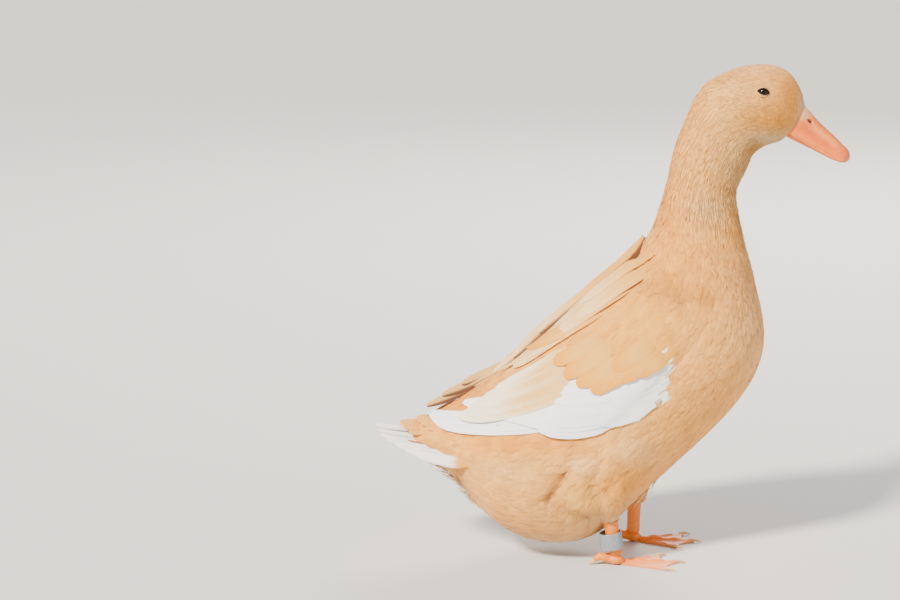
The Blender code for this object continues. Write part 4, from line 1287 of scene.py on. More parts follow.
def atlas_uv(place, number):
    """Each long feather in its own cell of the map, its upper face beside its lower one."""
    count, points = place.shape[:2]
    cell = number + np.arange(count)
    corner = np.stack((cell % ATLAS, cell // ATLAS), -1) / ATLAS
    under = (np.arange(points) >= points // 2) * (CELL_HALF + CELL_EDGE)
    u = CELL_EDGE + (place[..., 1] + 1.0) * CELL_HALF / 2 + under
    v = CELL_EDGE + place[..., 0] * CELL_LONG
    return corner[:, None] + np.stack((u, v), -1) / ATLAS


def columns_of(rows):
    return (np.array([row[k] for row in rows], float) for k in range(len(rows[0])))


def straight_lines(root, tip):
    """Sections and turns along straight lines between those of roots and tips."""
    between = root[:, None] + (tip - root)[:, None] * quill_stations()[:, None]
    return between[..., 0], between[..., 1]


def leaning(s, turn, lean):
    """The body's normals, turned away from the left side by the lean."""
    return unit(body_axes(s, turn)[1] - np.array((0.0, lean, 0.0)))


def left_wing_lines():
    """Lines, normals, widths and recipes of the feathers that only the raised left wing shows."""
    a = quill_stations()
    grow = smooth_step(0.0, 0.3, a)
    root, tip, half = columns_of(RIDGE_FEATHERS)
    s, turn = straight_lines(root, tip)
    step = np.linspace(0.0, RIDGE_STEP, len(half))[:, None]
    rise = table_value(RIDGE_RISE, s) * grow + step
    yield on_body(s, turn, rise), leaning(s, turn, RIDGE_LEAN), half, "pale_buff"
    root, tip, half = columns_of(SLOPE_FEATHERS)
    s, turn = straight_lines(root, tip)
    rise = (table_value(RIDGE_RISE, s) + SLOPE_RISE + step) * grow - SUNK_ROOT
    yield on_body(s, turn, rise), leaning(s, turn, SLOPE_LEAN), half, "pale_buff"
    root, tip, sag, half = columns_of(FAR_FEATHERS)
    line = root[:, None] + (tip - root)[:, None] * a[:, None]
    line[..., 2] -= sag[:, None] * 4.0 * a * (1.0 - a)
    normals = np.broadcast_to(unit(np.array((0.3, -FAR_LEAN, 1.0))), line.shape)
    yield line, normals, half, "tan"


def wing_rows(base):
    """For each group of long feathers: its sides, lines, widths, hug, recipe, seed and fray."""
    for k, tier in enumerate(WING_TIERS):
        count, root_a, root_b, tip_a, tip_b, halves, off_skin, least, bow, hug, recipe = tier
        share = np.linspace(0.0, 1.0, count)[:, None]
        root = mixed(np.array(root_a, float), np.array(root_b, float), share)
        tip = mixed(np.array(tip_a, float), np.array(tip_b, float), share)
        rest = off_skin + np.where(np.arange(count) % 2, *TIER_STEP)
        lines = flank_lines(base, *side_lines(root, tip, bow), rest, least)
        yield SIDES, lines, mixed(*halves, share[:, 0]), hug, recipe, 300 + k, QUILL_FRAY
    for words, rows in ((SIDES, BACK_FEATHERS), (("right",), UPPER_BACK_FEATHERS)):
        root, tip, half = columns_of(rows)
        rest = BACK_REST[0] + np.linspace(0.0, BACK_SLOPE, len(half))
        lines = flank_lines(base, *straight_lines(root, tip), rest, BACK_REST[1])
        yield words, lines, half, 1.0, "pale_buff", 321, QUILL_FRAY
    root, tip, half = columns_of(BORDER_FEATHERS)
    rest = BORDER_REST[0] + np.linspace(0.0, BORDER_SLOPE, len(half))
    lines = flank_lines(base, *side_lines(root, tip, BORDER_BOW), rest, BORDER_REST[1])
    yield SIDES, lines, half, 1.0, "buff", 320, BORDER_FRAY
    for line, normals, half, recipe in left_wing_lines():
        yield ("left",), (line, normals), half, 0.0, recipe, 322, QUILL_FRAY


def build_wing_feathers(base, finish):
    """The long feathers of the left wing, and of the right one as its mirror image."""
    made = list(wing_rows(base))
    for word, side in SIDES.items():
        tufts = Tufts()
        number = 0
        for words, lines, half, hug, recipe, seed, fray in made:
            start = number
            number += len(half)
            if word not in words:
                continue
            points, template, colour, place = lay_quills(*lines, half, recipe, seed, base, hug, fray)
            # Painted shade on the side that faces the hollow along the back
            if words == ("left",) and (lines[0][..., 1] < HOLLOW_REACH).all():
                hollow = smooth_step(*HOLLOW_FROM, place[..., 1])[..., None]
                colour = colour * (1.0 - hollow * HOLLOW_SHADE)
            faces = template if side > 0 else template[:, ::-1]
            tufts.add(points * (1.0, side, 1.0), faces, colour, place, atlas_uv(place, start))
        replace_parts(tufts.piece("wing_feathers_" + word, finish), "wing_" + word)


TAIL_PAIRS = 7
TAIL_ROOT = (-150.0, 1.6, 121.0)
TAIL_ROOT_OUT = (24.0, 44.0, -22.0)
TAIL_TIP = (-226.0, 3.0, 126.5)
TAIL_TIP_OUT = (42.0, 39.0, -18.0)
TAIL_TIP_BEND = 1.7
TAIL_HALF = (6.6, 6.4)
TAIL_FRAY = 0.13
# Painted shade along the edges of the tail feathers, which parts them from each other
TAIL_EDGE_SHADE = (0.30, 0.26, 0.22)
TAIL_ROOF = 0.95
TAIL_INNER_PAIRS = 3
TAIL_COVERTS = (
    # root, tip, reach across at root and tip, up or down, number, half width
    ((-150.0, 0.0, 131.0), (-203.0, 0.0, 129.5), (11.0, 19.0), 1.0, 7, 8.0),
    ((-140.0, 0.0, 138.0), (-187.0, 0.0, 134.0), (14.0, 22.0), 1.0, 8, 8.0),
    ((-150.0, 0.0, 100.0), (-205.0, 0.0, 110.5), (11.0, 20.0), -1.0, 7, 8.5),
    ((-142.0, 0.0, 84.0), (-188.0, 0.0, 101.0), (12.0, 22.0), -1.0, 8, 8.5),
)
COVERT_DROP = (2.0, 5.0)
COVERT_FAN = 10.0
COVERT_LEAN = 0.45
COVERT_STEP = 0.25
TAIL_SAG = 2.0


def tail_row(root, tip, reach, up, count):
    """Lines and normals of a row of tail coverts, fanned out from the middle."""
    a = quill_stations()
    for i in range(count):
        share = 2.0 * i / (count - 1) - 1.0
        line = np.array(root) + (np.array(tip) - root) * a[:, None]
        line[:, 1] += share * mixed(*reach, a)
        line[:, 2] -= up * share**2 * mixed(*COVERT_DROP, a)
        line[:, 0] += COVERT_FAN * share**2 * a
        line[:, 2] += up * COVERT_STEP * (i % 2)
        yield line, unit(np.array((0.0, share * COVERT_LEAN, up)))


def tail_pairs():
    """Lines, normals and half widths of the tail feathers, from the outer pair to the middle."""
    a = quill_stations()
    for i in reversed(range(TAIL_PAIRS)):
        for side in SIDES.values():
            share = i / (TAIL_PAIRS - 1.0)
            root = np.array(TAIL_ROOT) + np.array(TAIL_ROOT_OUT) * share
            out = (TAIL_TIP_OUT[0] * share**TAIL_TIP_BEND, TAIL_TIP_OUT[1] * share, TAIL_TIP_OUT[2] * share)
            line = root + (np.array(TAIL_TIP) + out - root) * a[:, None]
            line[:, 2] -= TAIL_SAG * np.sin(math.pi * a)
            line[:, 1] *= side
            lean = TAIL_ROOF * share * side
            yield line, (0.0, math.sin(lean), math.cos(lean)), mixed(*TAIL_HALF, share)


def build_tail_feathers(finish):
    """The tail feathers, with the coverts over and under them."""
    tufts = Tufts()
    number = 0
    lines, leans, halves = (np.array(column) for column in zip(*tail_pairs()))
    normals = np.repeat(leans[:, None], QUILL_STATIONS, 1)
    inner = 2 * TAIL_INNER_PAIRS
    for recipe, group in (("tail_outer", slice(None, -inner)), ("tail", slice(-inner, None))):
        laid = lay_quills(lines[group], normals[group], halves[group], recipe, 340, fray=TAIL_FRAY)
        points, template, colour, place = laid
        # Painted shade along each tail feather's edges
        edge = smooth_step(0.55, 1.0, np.abs(place[..., 1]))[..., None]
        colour = colour * (1.0 - edge * TAIL_EDGE_SHADE)
        tufts.add(points, template, colour, place, atlas_uv(place, number))
        number += len(points)
    for k, (*row, half) in enumerate(TAIL_COVERTS):
        lines, leans = (np.array(column) for column in zip(*tail_row(*row)))
        normals = np.repeat(leans[:, None], QUILL_STATIONS, 1)
        halves = np.full(len(lines), half)
        points, template, colour, place = lay_quills(lines, normals, halves, "tail_covert", 341 + k)
        tufts.add(points, template, colour, place, atlas_uv(place, number))
        number += len(lines)
    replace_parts(tufts.piece("tail_feathers", finish), "tail")


class Finish:
    """A new material round its main shader, with short ways to add and join its nodes."""

    def __init__(self, name, roughness, **values):
        self.made = bpy.data.materials.new(name)
        self.made.use_nodes = True
        self.tree = self.made.node_tree
        self.main = self.tree.nodes["Principled BSDF"]
        self.main.inputs["Roughness"].default_value = roughness
        for key, value in values.items():
            self.main.inputs[key.replace("_", " ")].default_value = value

    def add(self, kind, **values):
        node = self.tree.nodes.new("ShaderNode" + kind)
        for key, value in values.items():
            if hasattr(node, key):
                setattr(node, key, value)
            else:
                node.inputs[key.replace("_", " ")].default_value = value
        return node

    def join(self, start, out, end, into):
        self.tree.links.new(start.outputs[out], end.inputs[into])

    def noise(self, scale, detail, roughness):
        """Noise that is fixed to the object, its scale for a metre."""
        place = self.add("TexCoord")
        made = self.add("TexNoise", Scale=scale, Detail=detail, Roughness=roughness)
        self.join(place, "Object", made, "Vector")
        return made

    def factor(self, source, out, low, high, start=0.0, end=1.0):
        """From low to high while the source goes from start to end."""
        made = self.add("MapRange", From_Min=start, From_Max=end, To_Min=low, To_Max=high)
        self.join(source, out, made, "Value")
        return made

    def paint(self, factor, tint=None):
        """The painted tone, tinted, times the factor, as the colour."""
        tone, out = self.add("Attribute", attribute_name="tone"), "Color"
        if tint is not None:
            tinted = self.add("VectorMath", operation="MULTIPLY")
            self.join(tone, out, tinted, 0)
            self.join(tint, "Vector", tinted, 1)
            tone, out = tinted, "Vector"
        colour = self.add("VectorMath", operation="SCALE")
        self.join(tone, out, colour, 0)
        self.join(factor, 0, colour, "Scale")
        self.join(colour, "Vector", self.main, "Base Color")

    def bump(self, source, strength, distance):
        made = self.add("Bump", Strength=strength, Distance=distance)
        self.join(source, "Fac", made, "Height")
        self.join(made, "Normal", self.main, "Normal")


TINT = (0.35, 0.7, 1.3)
BARB_STRETCH = (1.6, 7.0, 40.0)


def plumage_material(name, streaks, mottle, own_share, warmth, roughness=0.8, shade_roots=0.12):
    """Feathers: the painted tone, parted by fine barbs along each vane and soft mottling, with painted shade
    near each root.
    """
    finish = Finish(name, roughness, Sheen_Weight=0.05, Specular_IOR_Level=0.25)
    vane = finish.add("Attribute", attribute_name="vane")
    split = finish.add("SeparateXYZ")
    finish.join(vane, "Vector", split, "Vector")
    # Barbs: noise stretched along the vane, different on each feather
    stretch = finish.add("VectorMath", operation="MULTIPLY")
    stretch.inputs[1].default_value = BARB_STRETCH
    finish.join(vane, "Vector", stretch, 0)
    barbs = finish.add("TexNoise", Scale=1.0, Detail=4.0, Roughness=0.6)
    finish.join(stretch, "Vector", barbs, "Vector")
    # Mottling over the body, each feather a little lighter or darker, and painted shade near its root
    factors = (
        finish.factor(finish.noise(38.0, 6.0, 0.66), "Fac", 1.0 - mottle, 1.0 + mottle, 0.3, 0.7),
        finish.factor(split, "Z", 1.0 - own_share, 1.0 + own_share),
        finish.factor(split, "X", 1.0 - shade_roots, 1.0, 0.0, 0.7),
    )
    last = finish.factor(barbs, "Fac", 1.0 - streaks, 1.0 + streaks, 0.25, 0.75)
    for factor in factors:
        product = finish.add("Math", operation="MULTIPLY")
        finish.join(last, 0, product, 0)
        finish.join(factor, 0, product, 1)
        last = product
    # Browner and paler patches, by a tint for each channel
    tint = finish.add("VectorMath", operation="MULTIPLY_ADD")
    finish.join(finish.noise(70.0, 6.0, 0.7), "Fac", tint, 0)
    tint.inputs[1].default_value = [share * warmth for share in TINT]
    tint.inputs[2].default_value = [1.0 - 0.5 * share * warmth for share in TINT]
    finish.paint(last, tint)
    finish.bump(barbs, 0.35, 0.0004)
    return finish.made


def grained_material(name, roughness, grain, shades, bump=None, **values):
    """The painted tone with a fine grain: its noise, its range of shades and its bump."""
    finish = Finish(name, roughness, **values)
    noise = finish.noise(*grain)
    finish.paint(finish.factor(noise, "Fac", *shades))
    if bump is not None:
        finish.bump(noise, *bump)
    return finish.made


def horn_material(name, roughness, scale, bump_size, coat=0.0):
    """Bill, legs, claws or lids: faintly translucent, with a grain of their own."""
    return grained_material(
        name,
        roughness,
        (scale, 5.0, 0.6),
        (0.84, 1.08, 0.3, 0.7),
        (0.4, bump_size),
        Coat_Weight=coat,
        Coat_Roughness=0.25,
        Subsurface_Weight=0.12,
        Subsurface_Radius=(0.004, 0.0016, 0.0008),
    )


def band_material():
    """Dull plastic, in places rougher than in others."""
    finish = Finish("leg_band", 0.35, Metallic=0.35)
    scuffs = finish.noise(260.0, 6.0, 0.7)
    finish.paint(finish.factor(scuffs, "Fac", 0.86, 1.04, 0.35, 0.65))
    finish.join(finish.factor(scuffs, "Fac", 0.28, 0.55), 0, finish.main, "Roughness")
    return finish.made


IRIS = linear(34, 20, 12)
PUPIL = linear(14, 11, 10)
# Rings and points round an eyeball
EYE_GRID = (28, 40)
# The cornea's swell and its reach, then the edges of pupil and iris, as angles from the middle
CORNEA = (0.035, 0.5)
PUPIL_EDGE = (0.40, 0.46)
IRIS_EDGE = (0.85, 1.0)


def build_eyes(finish):
    """The two eyeballs, dark brown, with a cornea that swells a little over the iris."""
    rings, around = EYE_GRID
    polar = np.linspace(0.0, math.pi, rings)
    turn = np.arange(around) * math.tau / around
    cos, sin = np.cos(polar)[:, None, None], np.sin(polar)[:, None, None]
    radius = EYE_RADIUS * (1.0 + CORNEA[0] * bell(polar / CORNEA[1]))[:, None, None]
    angle = np.concatenate((np.repeat(polar, around), (0.0, math.pi)))[:, None]
    colour = mixed(PUPIL, IRIS, smooth_step(*PUPIL_EDGE, angle))
    colour = colour * (1.0 - 0.8 * smooth_step(*IRIS_EDGE, angle))
    for word, side in SIDES.items():
        surface, out, ahead, up = eye_frame(side)
        across = ahead * np.cos(turn)[:, None] + up * np.sin(turn)[:, None]
        centre = surface - out * EYE_DEPTH
        eyeball = closed_tube(centre + radius * (cos * out + sin * across[None]))
        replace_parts(make_piece("eyeball_" + word, *eyeball, finish, "eye", colour), "eye_" + word)


LID_SKIN = pigment(214, 176, 138)
LID_EDGE = linear(50, 34, 24)
# Points round the lids, rings from the opening to the outer edge, pointed corners, upper height
LID_SIDES = 72
LID_STEPS = (0.0, 0.0, 0.12, 0.3, 0.55, 0.8, 1.0, 1.0)
LID_CORNER = 0.2
LID_UPPER = 0.92
# The ring that closes the lids inside the head: half length, half height, depth
LID_BACK = (6.4, 4.5, 3.2)


def build_lids(base, finish):
    """The lids: a closed rim from the opening on the eyeball out to the feathers round it."""
    angle = np.arange(LID_SIDES) * math.tau / LID_SIDES
    steps = np.array(LID_STEPS)
    wide = LID_OPENING[0] * (1.0 + LID_CORNER * np.abs(np.cos(angle)) ** 8)
    edge = bell(np.append(steps, 1.0) / 0.2)
    colour = mixed(LID_SKIN, LID_EDGE, np.repeat(edge, LID_SIDES)[:, None])
    for word, side in SIDES.items():
        surface, out, ahead, up = eye_frame(side)
        rings = []
        for k, step in enumerate(steps):
            x = mixed(wide, LID_OUTER[0], step) * np.cos(angle)
            z = mixed(LID_OPENING[1], LID_OUTER[1], step) * np.sin(angle)
            z = z * np.where(np.sin(angle) > 0, LID_UPPER, 1.0)
            flat = surface + ahead * x[:, None] + up * z[:, None]
            eyeball = np.sqrt(np.maximum(EYE_RADIUS**2 - x**2 - z**2, 0.0)) - EYE_DEPTH
            skin, _ = base.settle(flat)
            level = ((skin - surface) * out).sum(-1) + LID_RIM * (1.0 - step)
            rise = np.log(np.exp(2.0 * (eyeball + LID_RIM)) + np.exp(2.0 * level)) / 2.0
            if k == 0:
                rise = eyeball - LID_RIM
            if k == len(steps) - 1:
                rise = level - LID_COVERED
            fold = LID_FOLD * bell((step - 0.6) / 0.14)
            rings.append(flat + out * (rise - fold)[:, None])
        long, high, deep = LID_BACK
        back = surface + ahead * (np.cos(angle) * long)[:, None] + up * (np.sin(angle) * high)[:, None]
        points = np.array([*rings, back - out * deep]).reshape(-1, 3)
        faces = grid_faces(len(points) // LID_SIDES + 1, LID_SIDES, True) % len(points)
        make_piece("lids_" + word, points, faces, finish, "plumage", colour)


BILL_BASE = (171.7, 416.9)
BILL_SLOPE = math.radians(-32.2)
BILL_RINGS = (
    # u, culmen v, mouth line v, chin v, half width
    (-3.0, 16.8, -12.4, -16.8, 10.4),
    (0.2, 16.4, -12.6, -16.6, 10.6),
    (4.0, 15.6, -12.8, -16.4, 10.6),
    (9.0, 14.0, -12.9, -15.8, 10.4),
    (15.0, 12.2, -12.7, -15.0, 10.2),
    (21.0, 10.7, -12.4, -14.4, 10.4),
    (28.0, 9.4, -12.0, -13.6, 11.0),
    (36.0, 8.0, -11.4, -12.8, 11.9),
    (44.0, 6.2, -10.6, -12.0, 12.6),
    (51.0, 4.4, -9.4, -10.8, 12.4),
    (56.0, 2.6, -7.8, -9.4, 10.4),
    (59.0, 0.2, -5.8, -7.4, 7.0),
    (60.6, -2.2, -4.2, -5.6, 3.2),
)
# Points along and round the upper and the lower half
BILL_STATIONS = (110, 90)
BILL_COLUMNS = (57, 33)
LOWER_BILL_SHARE = 0.86
LOWER_BILL_END = 11.4
LOWER_BILL_GAP = 0.4
# Fine ridges along the upper edge of the lower half: height and closeness
COMB = (0.18, 2.6)
NOSTRIL_AT = (9.8, 7.6)
NOSTRIL_SIZE = (3.3, 1.6)
NOSTRIL_SLANT = 0.12
NOSTRIL_DEPTH = 2.6
NOSTRIL_RIM = 0.3
NAIL_AT = 55.6
NAIL_SIZE = (6.2, 4.6)
NAIL_RISE = 0.4
NAIL_GROOVE = 0.25
LIP_SWELL = 0.25
# The groove over the lip: height over the mouth line, depth
GROOVE = (2.6, 0.22)
BILL_PINK = pigment(224, 142, 96)
BILL_RIDGE = pigment(206, 118, 86)
BILL_BASE_TONE = pigment(212, 180, 156)
BILL_EDGE = pigment(240, 154, 72)
BILL_TIP = pigment(226, 132, 60)
# Painted shade in the groove over the lip
BILL_GROOVE_SHADE = pigment(150, 78, 52)
NAIL_TONE = linear(222, 180, 150)
# Bands of tone along the bill, a redder one and a painted highlight: tone, level between edge and ridge,
# width, start, end, strength
BILL_BANDS = (
    (pigment(208, 108, 70), 0.44, 0.17, -4.0, 46.0, 0.65),
    # A painted highlight along the middle of the side
    (pigment(244, 186, 150), 0.72, 0.12, 8.0, 54.0, 0.45),
)
BAND_SOFT = 12.0
# Painted shade deep in the nostrils
NOSTRIL_SHADE = linear(40, 20, 14)


def bill_point(u, v, y):
    x = BILL_BASE[0] + u * math.cos(BILL_SLOPE) - v * math.sin(BILL_SLOPE)
    z = BILL_BASE[1] + u * math.sin(BILL_SLOPE) + v * math.cos(BILL_SLOPE)
    return np.stack((x, y, z), -1)


def nail_distance(u, y):
    return ((u - NAIL_AT) / NAIL_SIZE[0]) ** 2 + (y / NAIL_SIZE[1]) ** 2


def bill_colour(u, v, mouth, culmen, y):
    """The tone over the upper half: pink, paler at the base, orange towards the edge and the tip, with a
    painted highlight along the side and painted shade in the groove over the lip.
    """
    height = np.clip((v - mouth) / (culmen - mouth + 1e-6), 0.0, 1.0)
    layers = [(BILL_BASE_TONE, fading(3.0, 13.0, u + 14.0 * (1.0 - height)), 0.8)]
    for tone, level, width, start, end, strength in BILL_BANDS:
        share = bell((height - level) / width) * smooth_step(start, start + BAND_SOFT, u)
        layers.append((tone, share * fading(end - BAND_SOFT, end, u), strength))
    layers.append((BILL_RIDGE, smooth_step(0.8, 1.0, height) * smooth_step(8.0, 22.0, u), 0.6))
    layers.append((BILL_TIP, smooth_step(36.0, 58.0, u), 0.75))
    layers.append((BILL_EDGE, bell(height / 0.2), 0.85))
    # Painted shade in the groove over the lip
    groove = bell((v - mouth - GROOVE[0]) / 0.7) * smooth_step(2.0, 10.0, u)
    layers.append((BILL_GROOVE_SHADE, groove * fading(40.0, 52.0, u), 0.6))
    nail = fading(0.75, 1.1, nail_distance(u, y)) * smooth_step(56.0, 60.0, u)
    layers.append((NAIL_TONE, nail, 0.8))
    colour = BILL_PINK
    for tone, share, strength in layers:
        colour = mixed(colour, tone, share[..., None] * strength)
    return colour


def build_upper_bill(finish):
    """The upper half, with slanted nostrils, a lip with a groove over it and a nail at the tip."""
    rows = sampled(BILL_RINGS, BILL_STATIONS[0])
    angle = np.linspace(-math.pi / 2, math.pi / 2, BILL_COLUMNS[0])
    u, culmen, mouth, _, half = (rows[:, k : k + 1] for k in range(5))
    v = mouth + (culmen - mouth) * np.cos(angle) ** 0.85
    across = np.abs(np.sin(angle))
    y = half * np.sin(angle) * (1.0 + 0.035 * across**20)
    u = np.broadcast_to(u, v.shape)
    slanted = v - NOSTRIL_AT[1] + NOSTRIL_SLANT * (u - NOSTRIL_AT[0])
    pit = ((u - NOSTRIL_AT[0]) / NOSTRIL_SIZE[0]) ** 2 + (slanted / NOSTRIL_SIZE[1]) ** 2
    depth = NOSTRIL_DEPTH * np.sqrt(np.clip(1.0 - pit, 0.0, 1.0))
    depth = depth - NOSTRIL_RIM * bell((np.sqrt(pit) - 1.45) / 0.3)
    nail = nail_distance(u, y)
    raised = NAIL_RISE * fading(0.8, 1.1, nail) - NAIL_GROOVE * bell((nail - 1.15) / 0.15)
    groove = bell((v - mouth - GROOVE[0]) / 0.9) * smooth_step(4.0, 14.0, u) * fading(44.0, 54.0, u)
    swell = LIP_SWELL * bell((v - mouth) / 1.3) - GROOVE[1] * groove
    y = y - np.sign(np.sin(angle)) * across * (depth - swell)
    v = v + raised * np.cos(angle) - depth * 0.2
    inner = [bill_point(u[:, :1], mouth + 0.5, half * share)[:, 0] for share in (0.8, 0.3, -0.3, -0.8)]
    points, faces = closed_tube(np.concatenate((bill_point(u, v, y), np.stack(inner, 1)), 1))
    colour = bill_colour(u, v, mouth, culmen, y)
    # Painted shade in the nostril pits
    colour = mixed(colour, NOSTRIL_SHADE, np.clip(1.15 - pit, 0.0, 1.0)[..., None] ** 0.5)
    under = np.broadcast_to(BILL_EDGE * 0.8, (len(rows), len(inner), 3))
    colour = np.concatenate((colour, under), 1).reshape(-1, 3)
    colour = np.concatenate((colour, BILL_BASE_TONE[None], BILL_EDGE[None]))
    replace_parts(make_piece("upper_bill", points, faces, finish, "bill", colour), "bill_upper")


def build_lower_bill(finish):
    """The lower half, a shallow trough with a comb of fine ridges along its edges."""
    rows = sampled(BILL_RINGS, BILL_STATIONS[1], LOWER_BILL_END)
    u, _, mouth, chin, half = (rows[:, k : k + 1] for k in range(5))
    angle = np.linspace(0.0, math.pi, BILL_COLUMNS[1])
    low = mouth - LOWER_BILL_GAP + (chin - mouth + LOWER_BILL_GAP) * np.sin(angle) ** 0.7
    wide = half * LOWER_BILL_SHARE * np.cos(angle)
    comb = COMB[0] * np.sin(u * COMB[1]) * bell((np.abs(np.cos(angle)) - 1.0) / 0.2)
    ring = bill_point(np.broadcast_to(u, low.shape), low + comb, wide)
    trough = bill_point(u, mouth - 1.2, np.zeros_like(u))
    points, faces = closed_tube(np.concatenate((ring, trough), 1))
    share = smooth_step(0.0, 0.6, np.sin(angle))[None, :, None]
    colour = mixed(BILL_EDGE, BILL_PINK * 0.9, share) * np.ones((len(rows), 1, 1))
    colour = np.concatenate((colour, np.broadcast_to(BILL_EDGE, (len(rows), 1, 3))), 1).reshape(-1, 3)
    colour = np.concatenate((colour, BILL_EDGE[None], BILL_EDGE[None]))
    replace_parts(make_piece("lower_bill", points, faces, finish, "bill", colour), "bill_lower")


LEGS = {
    # ankle, top of the shank, heading of the foot
    "right": ((4.0, 40.0, 10.6), (-2.5, 41.0, 52.0), math.radians(4.0)),
    "left": ((21.0, 40.0, 10.6), (22.5, 41.5, 52.0), math.radians(4.0)),
}
SHANK_SHAPE = ((0.0, 6.8), (0.1, 6.4), (0.45, 6.5), (0.75, 7.4), (1.0, 8.0))
TOE_REACH = (50.0, 60.0, 55.0)
TOE_SPREAD = math.radians(27.0)
TOE_START = 5.0
WEB_THICK = 1.6
WEB_BAY = 0.15
TOE_HIGH = (6.4, 3.4)
TOE_RIDGE = (0.10, 0.15)
TOE_JOINTS = 3.0
JOINT_SWELL = 0.14
CLAW = ((0.0, 2.4, 1.7), (4.5, 2.8, 1.5), (8.5, 2.0, 1.0), (11.5, 0.8, 0.4))
CLAW_START = 5.0
HIND_TOE = ((0.0, 5.5, 4.0), (7.0, 6.2, 4.2), (12.0, 8.0, 4.3), (17.0, 7.2, 3.5), (21.0, 4.6, 2.2))
HIND_CLAW = ((0.0, 6.0, 2.6), (3.5, 4.2, 2.0), (6.5, 2.4, 1.2), (8.5, 1.2, 0.5))
HIND_CLAW_START = 17.0
# Voxel and smoothing of a leg, then points along and round its parts
LEG_VOXEL = 0.7
LEG_SMOOTHING = 5
SHANK_STATIONS = 30
ANKLE_BALL = ((0.0, 0.0, 5.4), (7.6, 6.6, 5.0))
BALL_SIDES = 24
TOE_SIDES = 20
TOE_STATIONS = 14
# The scales: spacing, width, depth and shade of the grooves between them
SCALE_SPACING = 1.9
SCALE_WIDTH = 0.55
SCALE_GROOVE = 0.14
SCALE_SHADE = 0.16
CLAW_FLOOR = 0.15
# The web: points across and along, folds as height, closeness and slant, where its tone sets in
WEB_GRID = (97, 40)
WEB_FOLDS = (0.18, 46.0, 5.0)
WEB_OUT = (10.0, 30.0)
WEB_LOW = (2.4, 4.2)
LEG_ORANGE = pigment(240, 160, 108)
WEB_PINK = pigment(242, 174, 142)
CLAW_TONE = pigment(226, 196, 160)
UPWARD = np.array((0.0, 0.0, 1.0))


def leg_point(word, point):
    return np.array((point[0], point[1] * SIDES[word], point[2]), float)


def toe_direction(word, toe):
    angle = SIDES[word] * (TOE_SPREAD * (np.asarray(toe, float) - 1.0) - LEGS[word][2])
    return np.stack((np.cos(angle), np.sin(angle), np.zeros_like(angle)), -1)


def foot_sheet(word):
    """Toes as jointed ridges with the web between them, as one closed sheet."""
    base = leg_point(word, LEGS[word][0]) * (1.0, 1.0, 0.0)
    toe = np.linspace(0.0, 2.0, WEB_GRID[0])[None]
    out = np.linspace(0.0, 1.0, WEB_GRID[1])[:, None]
    apart = np.abs(toe - np.round(toe))
    reach = np.interp(toe, range(3), TOE_REACH) * (1.0 - WEB_BAY * np.sin(math.pi * apart) ** 0.8)
    joint = 1.0 + JOINT_SWELL * np.cos(TOE_JOINTS * math.tau * out)
    high = mixed(*TOE_HIGH, out) * joint
    ridge = mixed(*TOE_RIDGE, out)
    fold, close, slant = WEB_FOLDS
    crease = fold * np.sin(out * close + slant * apart) * smooth_step(0.12, 0.3, apart) * (1.0 - out**4)
    height = WEB_THICK + crease + (high - WEB_THICK) * bell(apart / ridge)
    height = height * np.minimum(1.0, 0.45 + 12.0 * np.minimum(toe, 2.0 - toe))
    place = base + toe_direction(word, toe) * mixed(TOE_START, reach, out)[..., None]
    return closed_sheet(place + UPWARD * height[..., None], place)


def rod_along(start, direction, table):
    """A rod over the floor, from rows of a table: way along, height and radius."""
    rows = sampled(table, TOE_STATIONS)
    points = start + direction * rows[:, :1] + UPWARD * rows[:, 1:2]
    return rod(points, np.maximum(rows[:, 2], 0.3), TOE_SIDES)


def ball(centre, radii):
    polar = np.linspace(0.02, math.pi - 0.02, BALL_SIDES // 2)[:, None]
    turn = (np.arange(BALL_SIDES) * math.tau / BALL_SIDES)[None]
    level = np.cos(polar) + 0.0 * turn
    shape = np.stack((np.cos(turn) * np.sin(polar), np.sin(turn) * np.sin(polar), level), -1)
    return closed_tube(centre + shape * radii)


def scale_grooves(points, triangles, surface):
    """How near each point lies to the line between two scales."""
    everywhere = np.ones(len(triangles), bool)
    scales, _ = sow(surface, np.full(len(triangles), SCALE_SPACING), everywhere, 500)
    tree = point_tree(scales)
    gaps = []
    for spot in points.tolist():
        near, next_one = tree.find_n(spot, 2)
        gaps.append(next_one[2] - near[2])
    return bell(np.array(gaps) / SCALE_WIDTH)


